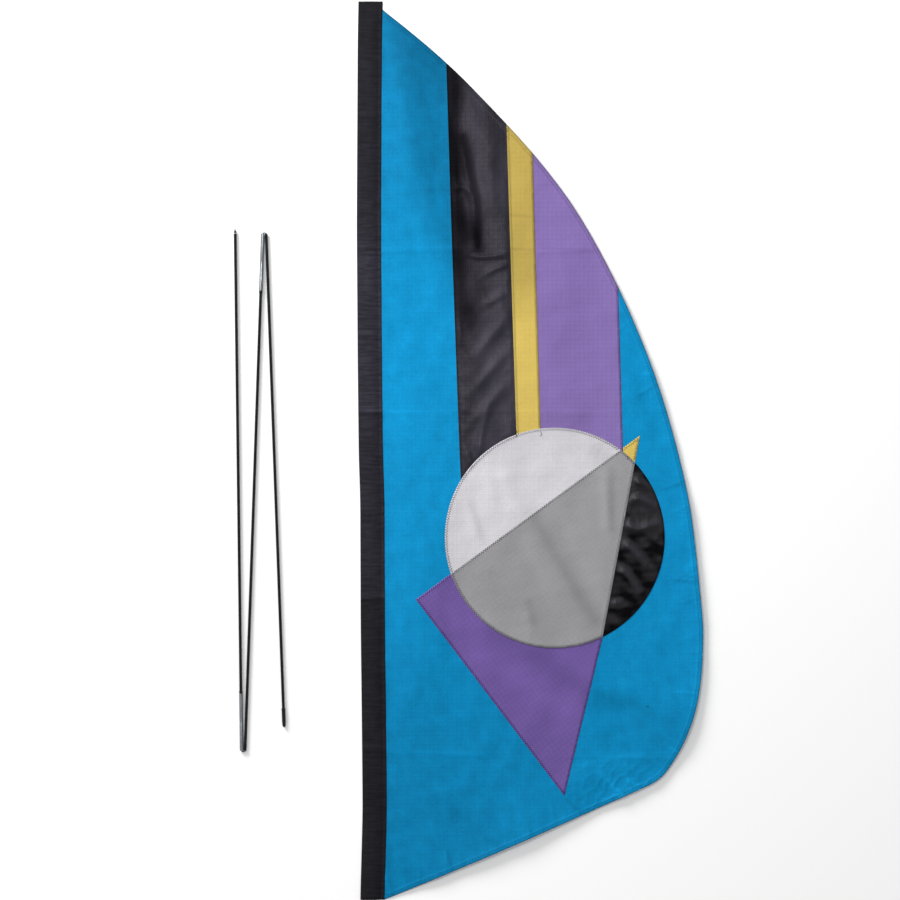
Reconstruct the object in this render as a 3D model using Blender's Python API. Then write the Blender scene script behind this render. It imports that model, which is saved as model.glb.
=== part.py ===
"""Sail-shaped banner laid flat beside its folded three-piece pole.

Metres, +Z up. The flag's own frame has its origin at the foot of the luff seam, +X towards the leech and
+Y towards the peak. The whole model is then moved so that its origin is at the middle of its underside.
"""

import math

import bmesh
import bpy
from mathutils import Vector

# Flag: overall sizes
SLEEVE_LENGTH = 1.0668
SAIL_REACH = 0.3784
PEAK_DROP = 0.0095
FOOT_HOLLOW = 0.0016

# Flag: cloth and seams
CLOTH = 0.0003
SEAM_LAP = 0.006
LAYER_GAP = 0.0003

# Luff sleeve
SLEEVE_WIDTH = 0.0288
SLEEVE_WALL = 0.0004
POCKET_EASE = 0.0008
TOP_SEAM = 0.007
TOP_TAPER = 0.030
TOP_POCKET_HEIGHT = 0.0004

# Stripes: the width of each at the disc's centre, as a share of the reach, and the lean of each seam
LUFF_BLUE_SHARE = 0.24841
BLACK_STRIPE_SHARE = 0.17970
YELLOW_STRIPE_SHARE = 0.07452
PURPLE_STRIPE_SHARE = 0.25687
STRIPE_SEAM_LEANS = (1.88, 1.78, 1.58, 1.66)

# Disc and triangle: the disc's centre, and the triangle's corners from it, are shares of the reach and of
# the peak's height, so that the design stays on the sail when the sail changes
DISC_RADIUS = 0.1307
DISC_PLACE = (0.53647, 0.40641)
TRIANGLE_LEFT = (-0.43790, -0.06914)
TRIANGLE_TOP = (0.26797, 0.11473)
TRIANGLE_KNEE = (0.14958, -0.11350)
TRIANGLE_FOOT = (0.02960, -0.28951)

# Pole
TUBE_LENGTH = 0.580
TUBE_RADIUS = 0.00165
TUBE_BORE_RADIUS = 0.00105
FERRULE_LENGTH = 0.0675
FERRULE_WALL = 0.00035
CRIMP_WIDTH = 0.0012
CRIMP_DEPTH = 0.00012
COLLAR_LENGTH = 0.0030
COLLAR_WALL = 0.00023
CAP_LENGTH = 0.0226
CAP_GRIP = 0.0164
CAP_WALL = 0.00035
CAP_RIM = 0.00025
CAP_RIM_LENGTH = 0.0018
CORD_RADIUS = 0.0006
KNOT_RADIUS = 0.00165
KNOT_LENGTH = 0.0024
KNOT_TAIL = 0.0030
ANCHOR_RADIUS = 0.0012
ANCHOR_LENGTH = 0.0018
CORD_ENTRY = 0.005

# Pole: where it lies, as the angle of each section off the luff
UPPER_FOLD = (-0.1413, 0.7906)
TIP_LEAN = 2.08
MIDDLE_LEAN = 1.96
BASE_LEAN = 0.71

# Clearances
CLEARANCE = 0.0003
SLIDING_FIT = 0.00015
BORE_FIT = 0.0001

# Fineness of round shapes
LEECH_STEPS = 5
DISC_SIDES = 72
TUBE_SIDES = 16
CORD_RESOLUTION = 2
TALL = 0.05

# The leech from the peak to the clew, as shares of the reach and of the peak's height
LEECH_SHAPE = (
    (0.0, 1.0),
    (0.2558, 0.9202),
    (0.5825, 0.7854),
    (0.8084, 0.6283),
    (0.9434, 0.4711),
    (0.9937, 0.3363),
    (1.0, 0.2802),
    (0.9841, 0.2240),
    (0.9434, 0.1791),
    (0.8837, 0.1432),
    (0.8367, 0.1297),
)
FOOT_STEPS = 8

FERRULE_BORE_RADIUS = TUBE_RADIUS + SLIDING_FIT
FERRULE_RADIUS = FERRULE_BORE_RADIUS + FERRULE_WALL
COLLAR_RADIUS = TUBE_RADIUS + SLIDING_FIT + COLLAR_WALL
CAP_RADIUS = TUBE_RADIUS + SLIDING_FIT + CAP_WALL
CAP_RIM_RADIUS = CAP_RADIUS + CAP_RIM
FERRULE_HALF = FERRULE_LENGTH / 2
POCKET_HEIGHT = 2 * FERRULE_RADIUS + POCKET_EASE
POLE_HEIGHT = max(FERRULE_RADIUS, CAP_RIM_RADIUS)
FOLD_SPACING = FERRULE_RADIUS + TUBE_RADIUS + CLEARANCE
PEAK_HEIGHT = SLEEVE_LENGTH - PEAK_DROP
SAIL_SIZE = Vector((SAIL_REACH, PEAK_HEIGHT))
DISC_CENTRE = Vector(DISC_PLACE) * SAIL_SIZE

COLOURS = {
    "black_cloth": ((0.020, 0.020, 0.024), 0.70, 0.0),
    "blue_ripstop": ((0.010, 0.270, 0.560), 0.50, 0.0),
    "black_ripstop": ((0.045, 0.042, 0.050), 0.45, 0.0),
    "yellow_ripstop": ((0.640, 0.470, 0.120), 0.50, 0.0),
    "purple_ripstop": ((0.210, 0.140, 0.390), 0.50, 0.0),
    "white_ripstop": ((0.640, 0.620, 0.650), 0.55, 0.0),
    "grey_ripstop": ((0.310, 0.310, 0.320), 0.50, 0.0),
    "glass_fibre": ((0.012, 0.012, 0.014), 0.35, 0.0),
    "metal": ((0.560, 0.600, 0.640), 0.28, 1.0),
    "rubber": ((0.010, 0.010, 0.011), 0.60, 0.0),
    "cord": ((0.016, 0.016, 0.018), 0.80, 0.0),
}


def clear_scene():
    for obj in list(bpy.data.objects):
        bpy.data.objects.remove(obj, do_unlink=True)


def make_materials():
    made = {}
    for name, (colour, roughness, metallic) in COLOURS.items():
        material = bpy.data.materials.new(name)
        material.use_nodes = True
        shader = material.node_tree.nodes["Principled BSDF"]
        shader.inputs["Base Color"].default_value = (*colour, 1.0)
        shader.inputs["Roughness"].default_value = roughness
        shader.inputs["Metallic"].default_value = metallic
        made[name] = material
    return made


def add_object(name, data, material=None):
    """An object in the scene. One with no material is a cutter, which shapes others and isn't a part."""
    obj = bpy.data.objects.new(name, data)
    bpy.context.collection.objects.link(obj)
    if material is None:
        obj.hide_render = True
        obj.display_type = "WIRE"
    else:
        data.materials.append(material)
    return obj


def mesh_from(bm, name):
    bmesh.ops.recalc_face_normals(bm, faces=bm.faces)
    mesh = bpy.data.meshes.new(name)
    bm.to_mesh(mesh)
    bm.free()
    return mesh


def prism(name, outline, low, high, material=None):
    """A flat outline stood up between two heights."""
    bm = bmesh.new()
    face = bm.faces.new([bm.verts.new((x, y, low)) for x, y in outline])
    grown = bmesh.ops.extrude_face_region(bm, geom=[face])["geom"]
    top = [item for item in grown if isinstance(item, bmesh.types.BMVert)]
    bmesh.ops.translate(bm, verts=top, vec=(0, 0, high - low))
    return add_object(name, mesh_from(bm, name), material)


def loft(name, sections, material=None):
    """A closed skin through sections of equal point counts, with a flat face at each end."""
    bm = bmesh.new()
    rings = [[bm.verts.new(point) for point in section] for section in sections]
    for ring, following in zip(rings, rings[1:]):
        for i in range(len(ring)):
            j = (i + 1) % len(ring)
            bm.faces.new((ring[i], ring[j], following[j], following[i]))
    bm.faces.new(rings[0])
    bm.faces.new(rings[-1])
    return add_object(name, mesh_from(bm, name), material)


def turned(name, profile, material, place):
    """A profile of (radius, distance) spun about its axis. One that leaves the axis makes a ring."""
    bm = bmesh.new()
    start, along, across = place
    points = [start + along * distance + across * radius for radius, distance in profile]
    verts = [bm.verts.new(point) for point in points]
    edges = [bm.edges.new(pair) for pair in zip(verts, verts[1:])]
    if profile[0][0] > 0:
        edges.append(bm.edges.new((verts[-1], verts[0])))
    bmesh.ops.spin(
        bm,
        geom=verts + edges,
        cent=start,
        axis=along,
        dvec=(0, 0, 0),
        angle=2 * math.pi,
        steps=TUBE_SIDES,
        use_merge=True,
        use_duplicate=False,
    )
    bmesh.ops.remove_doubles(bm, verts=bm.verts, dist=1e-6)
    obj = add_object(name, mesh_from(bm, name), material)
    obj.data.shade_smooth()
    obj.data.set_sharp_from_angle(angle=math.radians(40))
    return obj


def cord(name, route, material, radii=None):
    """A round cord through points, with closed ends. radii are shares of the cord's radius."""
    curve = bpy.data.curves.new(name, "CURVE")
    curve.dimensions = "3D"
    curve.bevel_depth = CORD_RADIUS
    curve.bevel_resolution = CORD_RESOLUTION
    curve.use_fill_caps = True
    spline = curve.splines.new("POLY")
    spline.points.add(len(route) - 1)
    for i, point in enumerate(route):
        spline.points[i].co = (*point, 1.0)
        spline.points[i].radius = radii[i] if radii else 1.0
    return add_object(name, curve, material)


def boolean(obj, other, operation):
    modifier = obj.modifiers.new(f"{operation.lower()} {other.name}", "BOOLEAN")
    modifier.operation = operation
    modifier.solver = "EXACT"
    modifier.object = other


def smooth_through(points, steps):
    """A Catmull-Rom curve through points, with its two ends continued straight."""
    first = [2 * a - b for a, b in zip(points[0], points[1])]
    last = [2 * a - b for a, b in zip(points[-1], points[-2])]
    padded = [first, *points, last]
    made = []
    for before, here, there, after in zip(padded, padded[1:], padded[2:], padded[3:]):
        for step in range(steps):
            t = step / steps
            point = []
            for a, b, c, d in zip(before, here, there, after):
                bend = (a - 2.5 * b + 2 * c - d / 2) * t**2 + (1.5 * (b - c) + (d - a) / 2) * t**3
                point.append(b + (c - a) / 2 * t + bend)
            made.append(tuple(point))
    made.append(tuple(points[-1]))
    return made


def layer(number):
    """The underside of a cloth layer, counted up from the ground cloth."""
    return number * (CLOTH + LAYER_GAP)


def sail_outline():
    """The sail, with its luff tucked under the sleeve's seam, counter-clockwise from the tack."""
    leech = smooth_through([(x * SAIL_REACH, y * PEAK_HEIGHT) for x, y in LEECH_SHAPE], LEECH_STEPS)
    clew_x, clew_y = leech[-1]
    foot = []
    for i in range(1, FOOT_STEPS):
        t = i / FOOT_STEPS
        foot.append((t * clew_x, t * clew_y - 4 * t * (1 - t) * FOOT_HOLLOW))
    tuck = SEAM_LAP - CLEARANCE
    luff = [(-tuck, PEAK_HEIGHT), (-tuck, 0.0), (0.0, 0.0)]
    return luff + foot + leech[::-1]


def sleeve_section(y, height, inset):
    """A pocket section at one place along the luff: flat below, arched above, shrunk by inset all round."""
    left = -SLEEVE_WIDTH + inset
    right = -SEAM_LAP - inset
    middle = (left + right) / 2
    half = (right - left) / 2
    steps = 16
    points = []
    for i in range(steps + 1):
        u = -math.cos(math.pi * i / steps)
        rise = height * (1 - abs(u) ** 3) ** 0.8
        points.append((middle + half * u, y, SLEEVE_WALL + rise))
    return points


def build_sleeve(material):
    """A pocket of one folded strip, whose two edges are sewn to the ground cloth as a flange above it."""
    full = POCKET_HEIGHT
    taper_end = SLEEVE_LENGTH - TOP_SEAM
    taper_start = taper_end - TOP_TAPER
    flange_low = CLOTH + LAYER_GAP
    flange_high = flange_low + SLEEVE_WALL

    def outer(y, height):
        arch = sleeve_section(y, height + SLEEVE_WALL, 0.0)
        arch = [point for point in arch if point[0] < -SEAM_LAP - SLEEVE_WALL]
        flange_top = [(-SEAM_LAP, y, flange_high + SLEEVE_WALL / 2), (0.0, y, flange_high)]
        flange_underside = [(0.0, y, flange_low), (-SEAM_LAP, y, flange_low)]
        back = [(-SEAM_LAP, y, 0.0), (-SLEEVE_WIDTH, y, 0.0)]
        return arch + flange_top + flange_underside + back

    def inner(y, height):
        return sleeve_section(y, height, SLEEVE_WALL)

    flat = TOP_POCKET_HEIGHT
    stations = ((0.0, full), (taper_start, full), (taper_end, flat), (SLEEVE_LENGTH, flat))
    sleeve = loft("luff_sleeve", [outer(y, height) for y, height in stations], material)
    pocket_stations = ((-TOP_SEAM, full), (taper_start, full), (taper_end, flat))
    pocket = loft("pocket_cutter", [inner(y, height) for y, height in pocket_stations])
    boolean(sleeve, pocket, "DIFFERENCE")


def seam_x(number, y):
    """Where a stripe's seam runs at one height."""
    shares = (LUFF_BLUE_SHARE, BLACK_STRIPE_SHARE, YELLOW_STRIPE_SHARE, PURPLE_STRIPE_SHARE)
    lean = math.tan(math.radians(STRIPE_SEAM_LEANS[number]))
    return SAIL_REACH * sum(shares[: number + 1]) - (y - DISC_CENTRE.y) * lean


def stripe_outline(left, left_shift, right, right_shift):
    """The strip between two seams, from the disc's centre up past the peak."""
    low = DISC_CENTRE.y
    high = SLEEVE_LENGTH + SEAM_LAP
    return [
        (seam_x(left, low) + left_shift, low),
        (seam_x(right, low) + right_shift, low),
        (seam_x(right, high) + right_shift, high),
        (seam_x(left, high) + left_shift, high),
    ]


def disc_outline(radius):
    turns = [2 * math.pi * i / DISC_SIDES for i in range(DISC_SIDES)]
    return [DISC_CENTRE + radius * Vector((math.cos(a), math.sin(a))) for a in turns]


def triangle_corners():
    corners = (TRIANGLE_LEFT, TRIANGLE_FOOT, TRIANGLE_KNEE, TRIANGLE_TOP)
    return [DISC_CENTRE + Vector(corner) * SAIL_SIZE for corner in corners]


def moved_line(start, end, shift):
    """The line from start to end, moved to its left by shift."""
    along = (end - start).normalized()
    side = Vector((-along.y, along.x)) * shift
    return start + side, end + side


def crossing(first, second):
    """Where two lines, each given by two points, cross."""
    (a, b), (c, d) = first, second
    u, v = b - a, d - c
    share = ((c.x - a.x) * v.y - (c.y - a.y) * v.x) / (u.x * v.y - u.y * v.x)
    return a + u * share


def shrunk(corners, by):
    """A counter-clockwise outline with each side moved inwards."""
    sides = [moved_line(a, b, by) for a, b in zip(corners, corners[1:] + corners[:1])]
    return [crossing(before, side) for before, side in zip(sides[-1:] + sides[:-1], sides)]


def beside_line(start, end, shift):
    """A wide block to the left of the line from start to end, moved to its left by shift."""
    near, far = moved_line(start, end, shift)
    along = (far - near).normalized() * SLEEVE_LENGTH
    side = Vector((-along.y, along.x))
    return [near - along, far + along, far + along + side, near - along + side]


def build_panels(materials):
    sail = prism("sail_cutter", sail_outline(), -TALL, TALL)
    disc_inside = prism("disc_hole_cutter", disc_outline(DISC_RADIUS - SEAM_LAP), -TALL, TALL)
    left, foot, knee, top = triangle_corners()
    triangle = [left, foot, knee, top]
    triangle_hole = prism("triangle_hole_cutter", shrunk(triangle, SEAM_LAP), -TALL, TALL)
    triangle_whole = prism("triangle_cutter", triangle, -TALL, TALL)
    stripes_hole = prism("stripes_hole_cutter", stripe_outline(0, SEAM_LAP, 3, -SEAM_LAP), -TALL, TALL)
    height = DISC_CENTRE.y
    reach = 2 * SLEEVE_LENGTH
    upper = [(-reach, height), (reach, height), (reach, height + reach), (-reach, height + reach)]
    above = prism("above_disc_cutter", upper, -TALL, TALL)
    lower = [(-reach, height - reach), (reach, height - reach), (reach, height), (-reach, height)]
    below = prism("below_disc_cutter", lower, -TALL, TALL)

    ground = prism("blue_ground", sail_outline(), layer(0), layer(0) + CLOTH, materials["blue_ripstop"])
    for hole in (stripes_hole, disc_inside, triangle_hole):
        boolean(ground, hole, "DIFFERENCE")

    stripes = (
        ("black_stripe", "black_ripstop", 1, (0, 0.0, 1, SEAM_LAP)),
        ("purple_stripe", "purple_ripstop", 1, (2, -SEAM_LAP, 3, 0.0)),
        ("yellow_stripe", "yellow_ripstop", 2, (1, 0.0, 2, 0.0)),
    )
    for name, material, number, sides in stripes:
        low = layer(number)
        panel = prism(name, stripe_outline(*sides), low, low + CLOTH, materials[material])
        boolean(panel, sail, "INTERSECT")
        boolean(panel, disc_inside, "DIFFERENCE")

    low = layer(1)
    purple = prism("purple_triangle", triangle, low, low + CLOTH, materials["purple_ripstop"])
    boolean(purple, sail, "INTERSECT")
    boolean(purple, disc_inside, "DIFFERENCE")
    boolean(purple, above, "DIFFERENCE")

    beside_purple = stripe_outline(0, 0.0, 3, CLEARANCE)
    purple_side = prism("purple_side_cutter", beside_purple, -TALL, TALL)
    tip = prism("yellow_tip", triangle, low, low + CLOTH, materials["yellow_ripstop"])
    boolean(tip, sail, "INTERSECT")
    boolean(tip, disc_inside, "DIFFERENCE")
    boolean(tip, below, "DIFFERENCE")
    boolean(tip, purple_side, "DIFFERENCE")

    right_of_triangle = prism("right_segment_cutter", beside_line(top, knee, -SEAM_LAP), -TALL, TALL)
    over_triangle = prism("upper_segment_cutter", beside_line(left, top, -SEAM_LAP), -TALL, TALL)
    disc_parts = (
        ("black_segment", "black_ripstop", 2, right_of_triangle),
        ("white_segment", "white_ripstop", 3, over_triangle),
        ("grey_panel", "grey_ripstop", 4, triangle_whole),
    )
    for name, material, number, share in disc_parts:
        low = layer(number)
        panel = prism(name, disc_outline(DISC_RADIUS), low, low + CLOTH, materials[material])
        boolean(panel, sail, "INTERSECT")
        boolean(panel, share, "INTERSECT")


def heading(lean):
    """Up the flag, leaning by degrees towards the leech."""
    angle = math.radians(lean)
    return Vector((math.sin(angle), math.cos(angle), 0.0))


def fold_ends(fold, left_up, right_up):
    """The two ends that face each other at a fold: left and right of the middle of the gap between them."""
    middle = (left_up + right_up).normalized()
    across = Vector((middle.y, -middle.x, 0.0)) * (FOLD_SPACING / 2)
    return fold - across, fold + across


def ring(inner, outer, start, end):
    return [(outer, start), (outer, end), (inner, end), (inner, start)]


def crimped_ferrule_profile():
    middle = FERRULE_HALF
    half = CRIMP_WIDTH / 2
    return [
        (FERRULE_RADIUS, 0.0),
        (FERRULE_RADIUS, middle - half),
        (FERRULE_RADIUS - CRIMP_DEPTH, middle - half / 2),
        (FERRULE_RADIUS - CRIMP_DEPTH, middle + half / 2),
        (FERRULE_RADIUS, middle + half),
        (FERRULE_RADIUS, FERRULE_LENGTH),
        (FERRULE_BORE_RADIUS, FERRULE_LENGTH),
        (FERRULE_BORE_RADIUS, 0.0),
    ]


def build_ferruled_section(names, mouth, along, materials, far_gap):
    """A tube held by half of a ferrule, with the cord inside it. along points from the mouth up the tube."""
    tube_name, ferrule_name, collar_name, cord_name = names
    place = (mouth, along, Vector((0, 0, 1)))
    turned(ferrule_name, crimped_ferrule_profile(), materials["metal"], place)
    tube_start = FERRULE_HALF
    tube_end = tube_start + TUBE_LENGTH
    tube = ring(TUBE_BORE_RADIUS, TUBE_RADIUS, tube_start, tube_end)
    turned(tube_name, tube, materials["glass_fibre"], place)
    collar_start = FERRULE_LENGTH + CLEARANCE
    collar = ring(TUBE_RADIUS + SLIDING_FIT, COLLAR_RADIUS, collar_start, collar_start + COLLAR_LENGTH)
    turned(collar_name, collar, materials["rubber"], place)
    cord_route = [mouth + along * (tube_start + CLEARANCE), mouth + along * (tube_end - far_gap)]
    cord(cord_name, cord_route, materials["cord"])
    return mouth + along * tube_end


def build_tip_section(end, along, materials):
    """The section whose bare end goes into the upper ferrule. along points from that end to the cap."""
    place = (end, along, Vector((0, 0, 1)))
    tube = ring(TUBE_BORE_RADIUS, TUBE_RADIUS, 0.0, TUBE_LENGTH)
    turned("tip_tube", tube, materials["glass_fibre"], place)
    cord_route = [end + along * (CORD_ENTRY + CLEARANCE), end + along * (TUBE_LENGTH - CLEARANCE)]
    cord("tip_cord", cord_route, materials["cord"])
    anchor_start = TUBE_LENGTH + CLEARANCE
    anchor_end = anchor_start + ANCHOR_LENGTH
    shoulder = ANCHOR_RADIUS / 2
    anchor = [
        (0.0, anchor_start),
        (shoulder, anchor_start),
        (ANCHOR_RADIUS, anchor_start + ANCHOR_LENGTH / 3),
        (ANCHOR_RADIUS, anchor_end - ANCHOR_LENGTH / 3),
        (shoulder, anchor_end),
        (0.0, anchor_end),
    ]
    turned("tip_cord_anchor", anchor, materials["cord"], place)
    mouth = TUBE_LENGTH - CAP_GRIP
    nose = mouth + CAP_LENGTH
    bore = TUBE_RADIUS + SLIDING_FIT
    rounding = [math.pi / 2 * i / 4 for i in range(1, 4)]
    inside = [(0.0, anchor_end + CLEARANCE), (bore, anchor_end + CLEARANCE), (bore, mouth)]
    rim = [(CAP_RIM_RADIUS, mouth), (CAP_RIM_RADIUS, mouth + CAP_RIM_LENGTH)]
    side = [(CAP_RADIUS, mouth + 1.5 * CAP_RIM_LENGTH), (CAP_RADIUS, nose - CAP_RADIUS)]
    rounded = [(CAP_RADIUS * math.cos(a), nose - CAP_RADIUS * (1 - math.sin(a))) for a in rounding]
    cap = inside + rim + side + rounded + [(0.0, nose)]
    turned("tip_cap", cap, materials["rubber"], place)


def build_cord_loop(name, mouth, ferrule_along, bare_end, bare_along, materials):
    """The cord from the ferrule's middle, out of its mouth, over the rims and into the next tube's bore."""
    across = (bare_end - mouth).normalized()
    out = -(ferrule_along + bare_along).normalized()
    ferrule_side = across * (FERRULE_BORE_RADIUS - CORD_RADIUS - CLEARANCE)
    bore_side = -across * (TUBE_BORE_RADIUS - CORD_RADIUS - BORE_FIT)
    rim = CORD_RADIUS + CLEARANCE
    route = [
        mouth + ferrule_along * (FERRULE_HALF - CLEARANCE),
        mouth + ferrule_along * (FERRULE_HALF / 2),
        mouth + ferrule_along * CORD_ENTRY + ferrule_side / 2,
        mouth + ferrule_side,
        mouth + ferrule_side * 1.2 + out * rim,
        (mouth + ferrule_side + bare_end + bore_side) / 2 + out * rim * 1.8,
        bare_end + bore_side * 1.4 + out * rim,
        bare_end + bore_side * 0.8,
        bare_end + bare_along * CORD_ENTRY / 2,
        bare_end + bare_along * CORD_ENTRY,
    ]
    steps = 3
    cord(name, [Vector(point) for point in smooth_through(route, steps)], materials["cord"])


def build_knot(end, along, material):
    """The cord's knot against the tube's open end, with its cut tail."""
    start = end + along * CLEARANCE
    across = Vector((-along.y, along.x, 0.0))
    fat = KNOT_RADIUS / CORD_RADIUS
    steps = (
        (0.0, 0.0, 0.6 * fat),
        (0.15, 0.0, 0.9 * fat),
        (0.4, 0.1, fat),
        (0.7, 0.1, 0.9 * fat),
        (1.0, 0.0, 0.5 * fat),
    )
    route = [start + along * KNOT_LENGTH * t + across * CORD_RADIUS * side for t, side, radius in steps]
    radii = [radius for t, side, radius in steps]
    for t, radius in ((0.4, 1.0), (0.8, 0.8), (1.0, 0.45)):
        route.append(start + along * (KNOT_LENGTH + KNOT_TAIL * t))
        radii.append(radius)
    cord("base_knot", route, material, radii)


def build_pole(materials):
    """Three sections laid side by side, folded about the middles of the gaps between their facing ends."""
    tip_up = heading(-TIP_LEAN)
    middle_up = heading(MIDDLE_LEAN)
    base_up = heading(-BASE_LEAN)
    upper_fold = Vector((*UPPER_FOLD, POLE_HEIGHT))

    upper_mouth, tip_end = fold_ends(upper_fold, middle_up, tip_up)
    build_tip_section(tip_end, -tip_up, materials)
    middle_names = ("middle_tube", "upper_ferrule", "upper_ferrule_collar", "middle_cord")
    entry = CORD_ENTRY + CLEARANCE
    middle_end = build_ferruled_section(middle_names, upper_mouth, -middle_up, materials, entry)
    build_cord_loop("upper_cord_loop", upper_mouth, -middle_up, tip_end, -tip_up, materials)

    bisector = (middle_up + base_up).normalized()
    across = Vector((bisector.y, -bisector.x, 0.0)) * (FOLD_SPACING / 2)
    lower_fold = middle_end - across
    lower_mouth, _ = fold_ends(lower_fold, base_up, middle_up)
    base_names = ("base_tube", "lower_ferrule", "lower_ferrule_collar", "base_cord")
    base_end = build_ferruled_section(base_names, lower_mouth, base_up, materials, CLEARANCE)
    build_cord_loop("lower_cord_loop", lower_mouth, base_up, middle_end, middle_up, materials)
    build_knot(base_end, base_up, materials["cord"])
    return base_end.x - KNOT_RADIUS


def main():
    clear_scene()
    materials = make_materials()
    build_sleeve(materials["black_cloth"])
    build_panels(materials)
    left = build_pole(materials)
    shift = Vector((-(left + SAIL_REACH) / 2, -SLEEVE_LENGTH / 2, 0.0))
    for obj in bpy.data.objects:
        obj.location = shift


main()
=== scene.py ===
import math

import bmesh
import bpy
import numpy as np
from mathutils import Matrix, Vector
from mathutils.kdtree import KDTree
from mathutils.geometry import delaunay_2d_cdt


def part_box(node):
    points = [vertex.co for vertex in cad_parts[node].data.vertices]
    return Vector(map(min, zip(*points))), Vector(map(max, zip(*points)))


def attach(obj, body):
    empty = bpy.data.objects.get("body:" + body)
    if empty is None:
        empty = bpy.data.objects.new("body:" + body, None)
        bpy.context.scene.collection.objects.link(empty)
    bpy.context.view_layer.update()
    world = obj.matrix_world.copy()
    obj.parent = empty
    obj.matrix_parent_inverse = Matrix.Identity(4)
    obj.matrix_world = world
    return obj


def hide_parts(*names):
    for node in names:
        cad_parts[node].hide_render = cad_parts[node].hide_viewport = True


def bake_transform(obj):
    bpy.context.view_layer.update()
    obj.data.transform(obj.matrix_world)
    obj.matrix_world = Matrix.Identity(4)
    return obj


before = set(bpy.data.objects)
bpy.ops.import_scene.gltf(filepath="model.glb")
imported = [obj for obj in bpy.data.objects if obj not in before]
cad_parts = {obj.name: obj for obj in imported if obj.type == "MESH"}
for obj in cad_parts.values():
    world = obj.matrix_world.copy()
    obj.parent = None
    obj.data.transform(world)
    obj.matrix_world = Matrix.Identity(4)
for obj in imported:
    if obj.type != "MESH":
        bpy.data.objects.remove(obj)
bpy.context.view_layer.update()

# The flag is drawn in its own plan: x from the luff seam towards the leech, y from the foot of the luff up.
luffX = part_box("luff_sleeve")[1].x
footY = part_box("luff_sleeve")[0].y
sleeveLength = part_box("luff_sleeve")[1].y - footY
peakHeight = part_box("blue_ground")[1].y - footY
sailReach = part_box("blue_ground")[1].x - luffX
print("frame loaded, sail", round(sailReach, 4), "by", round(peakHeight, 4))


def smoothStep(low, high, value):
    t = np.clip((value - low) / (high - low), 0.0, 1.0)
    return t * t * (3 - 2 * t)


def bell(value, width):
    return np.exp(-(value / width) ** 2)


def spot(x, y, atX, atY, wideX, wideY):
    return bell(x - atX, wideX) * bell(y - atY, wideY)


def fade(value, width):
    # 1 up to zero, then dying out
    return np.exp(-np.maximum(value, 0) / width)


def crease(value, width):
    # a folded line: steep on both sides and sharp on top, a little rounded so that it catches light
    return np.exp(-np.sqrt(value ** 2 + (0.22 * width) ** 2) / width)


def smoothThrough(points, steps=6):
    # Catmull-Rom through the points
    points = np.array(points, float)
    padded = np.vstack([points[:1], points, points[-1:]])
    t = (np.arange(steps) / steps)[:, None]
    spans = [0.5 * (2 * q + (r - p) * t + (2 * p - 5 * q + 4 * r - s) * t ** 2
                    + (3 * q - p - 3 * r + s) * t ** 3)
             for p, q, r, s in zip(padded, padded[1:], padded[2:], padded[3:])]
    return np.concatenate(spans + [points[-1:]])


def spaced(line, gap=0.0022):
    # the same line with a point about every gap
    line = np.array(line, float)
    along = np.concatenate([[0.0], np.cumsum(np.linalg.norm(np.diff(line, axis=0), axis=1))])
    at = np.linspace(0, along[-1], max(2, int(round(along[-1] / gap)) + 1))
    return np.column_stack([np.interp(at, along, line[:, k]) for k in range(line.shape[1])])


def distanceTo(line, x, y):
    # shortest distance from each point to a line of points, and how far along the line that is
    line = np.asarray(line, float)
    best = np.full(x.shape, 1e9)
    where = np.zeros(x.shape)
    run = 0.0
    for (ax, ay), (bx, by) in zip(line[:, :2], line[1:, :2]):
        length = math.hypot(bx - ax, by - ay)
        if length < 1e-9:
            continue
        ux, uy = (bx - ax) / length, (by - ay) / length
        t = np.clip((x - ax) * ux + (y - ay) * uy, 0.0, length)
        d = np.hypot(x - ax - t * ux, y - ay - t * uy)
        where = np.where(d < best, run + t, where)
        best = np.minimum(d, best)
        run += length
    return best, where


class Ripple:
    # smooth unevenness: a seeded sum of waves, from about -1 to 1
    def __init__(self, seed, size, stretch=(1.0, 1.0), waves=14):
        draw = np.random.default_rng(seed)
        angle = draw.uniform(0, 2 * math.pi, waves)
        length = size * draw.uniform(0.6, 1.7, waves)
        self.kx = 2 * math.pi * np.cos(angle) / (length * stretch[0])
        self.ky = 2 * math.pi * np.sin(angle) / (length * stretch[1])
        self.phase = draw.uniform(0, 2 * math.pi, waves)
        self.share = 1.5 / math.sqrt(waves)

    def __call__(self, x, y):
        waves = (np.sin(kx * x + ky * y + phase) for kx, ky, phase in zip(self.kx, self.ky, self.phase))
        return np.clip(sum(waves) * self.share / 1.6, -1.4, 1.4)

    def raised(self, x, y):
        # the same from 0.2 up, for heights
        return self(x, y) * 0.5 + 0.7


def link(obj):
    bpy.context.scene.collection.objects.link(obj)
    return obj


def newMesh(name, points, faces, material, smooth=True):
    mesh = bpy.data.meshes.new(name)
    mesh.from_pydata([tuple(map(float, p)) for p in points], [], [tuple(map(int, f)) for f in faces])
    mesh.validate()
    mesh.materials.append(material)
    mesh.shade_smooth() if smooth else mesh.shade_flat()
    mesh.update()
    return link(bpy.data.objects.new(name, mesh))


def setNormals(mesh, weld=0.0, bridge=False):
    # normals outwards, once open rims are joined or doubled points welded
    bm = bmesh.new()
    bm.from_mesh(mesh)
    if bridge:
        bmesh.ops.bridge_loops(bm, edges=[edge for edge in bm.edges if edge.is_boundary])
    if weld:
        bmesh.ops.remove_doubles(bm, verts=bm.verts[:], dist=weld)
    bmesh.ops.recalc_face_normals(bm, faces=bm.faces[:])
    bm.to_mesh(mesh)
    bm.free()


def paintTone(mesh, tone):
    # what multiplies the cloth's colour at each point: mostly painted light and shade, with the hem's deeper
    # colour
    mesh.attributes.new("tone", "FLOAT", "POINT").data.foreach_set("value", tone.astype(np.float32))


def standFor(obj, node):
    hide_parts(node)
    return obj


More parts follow.
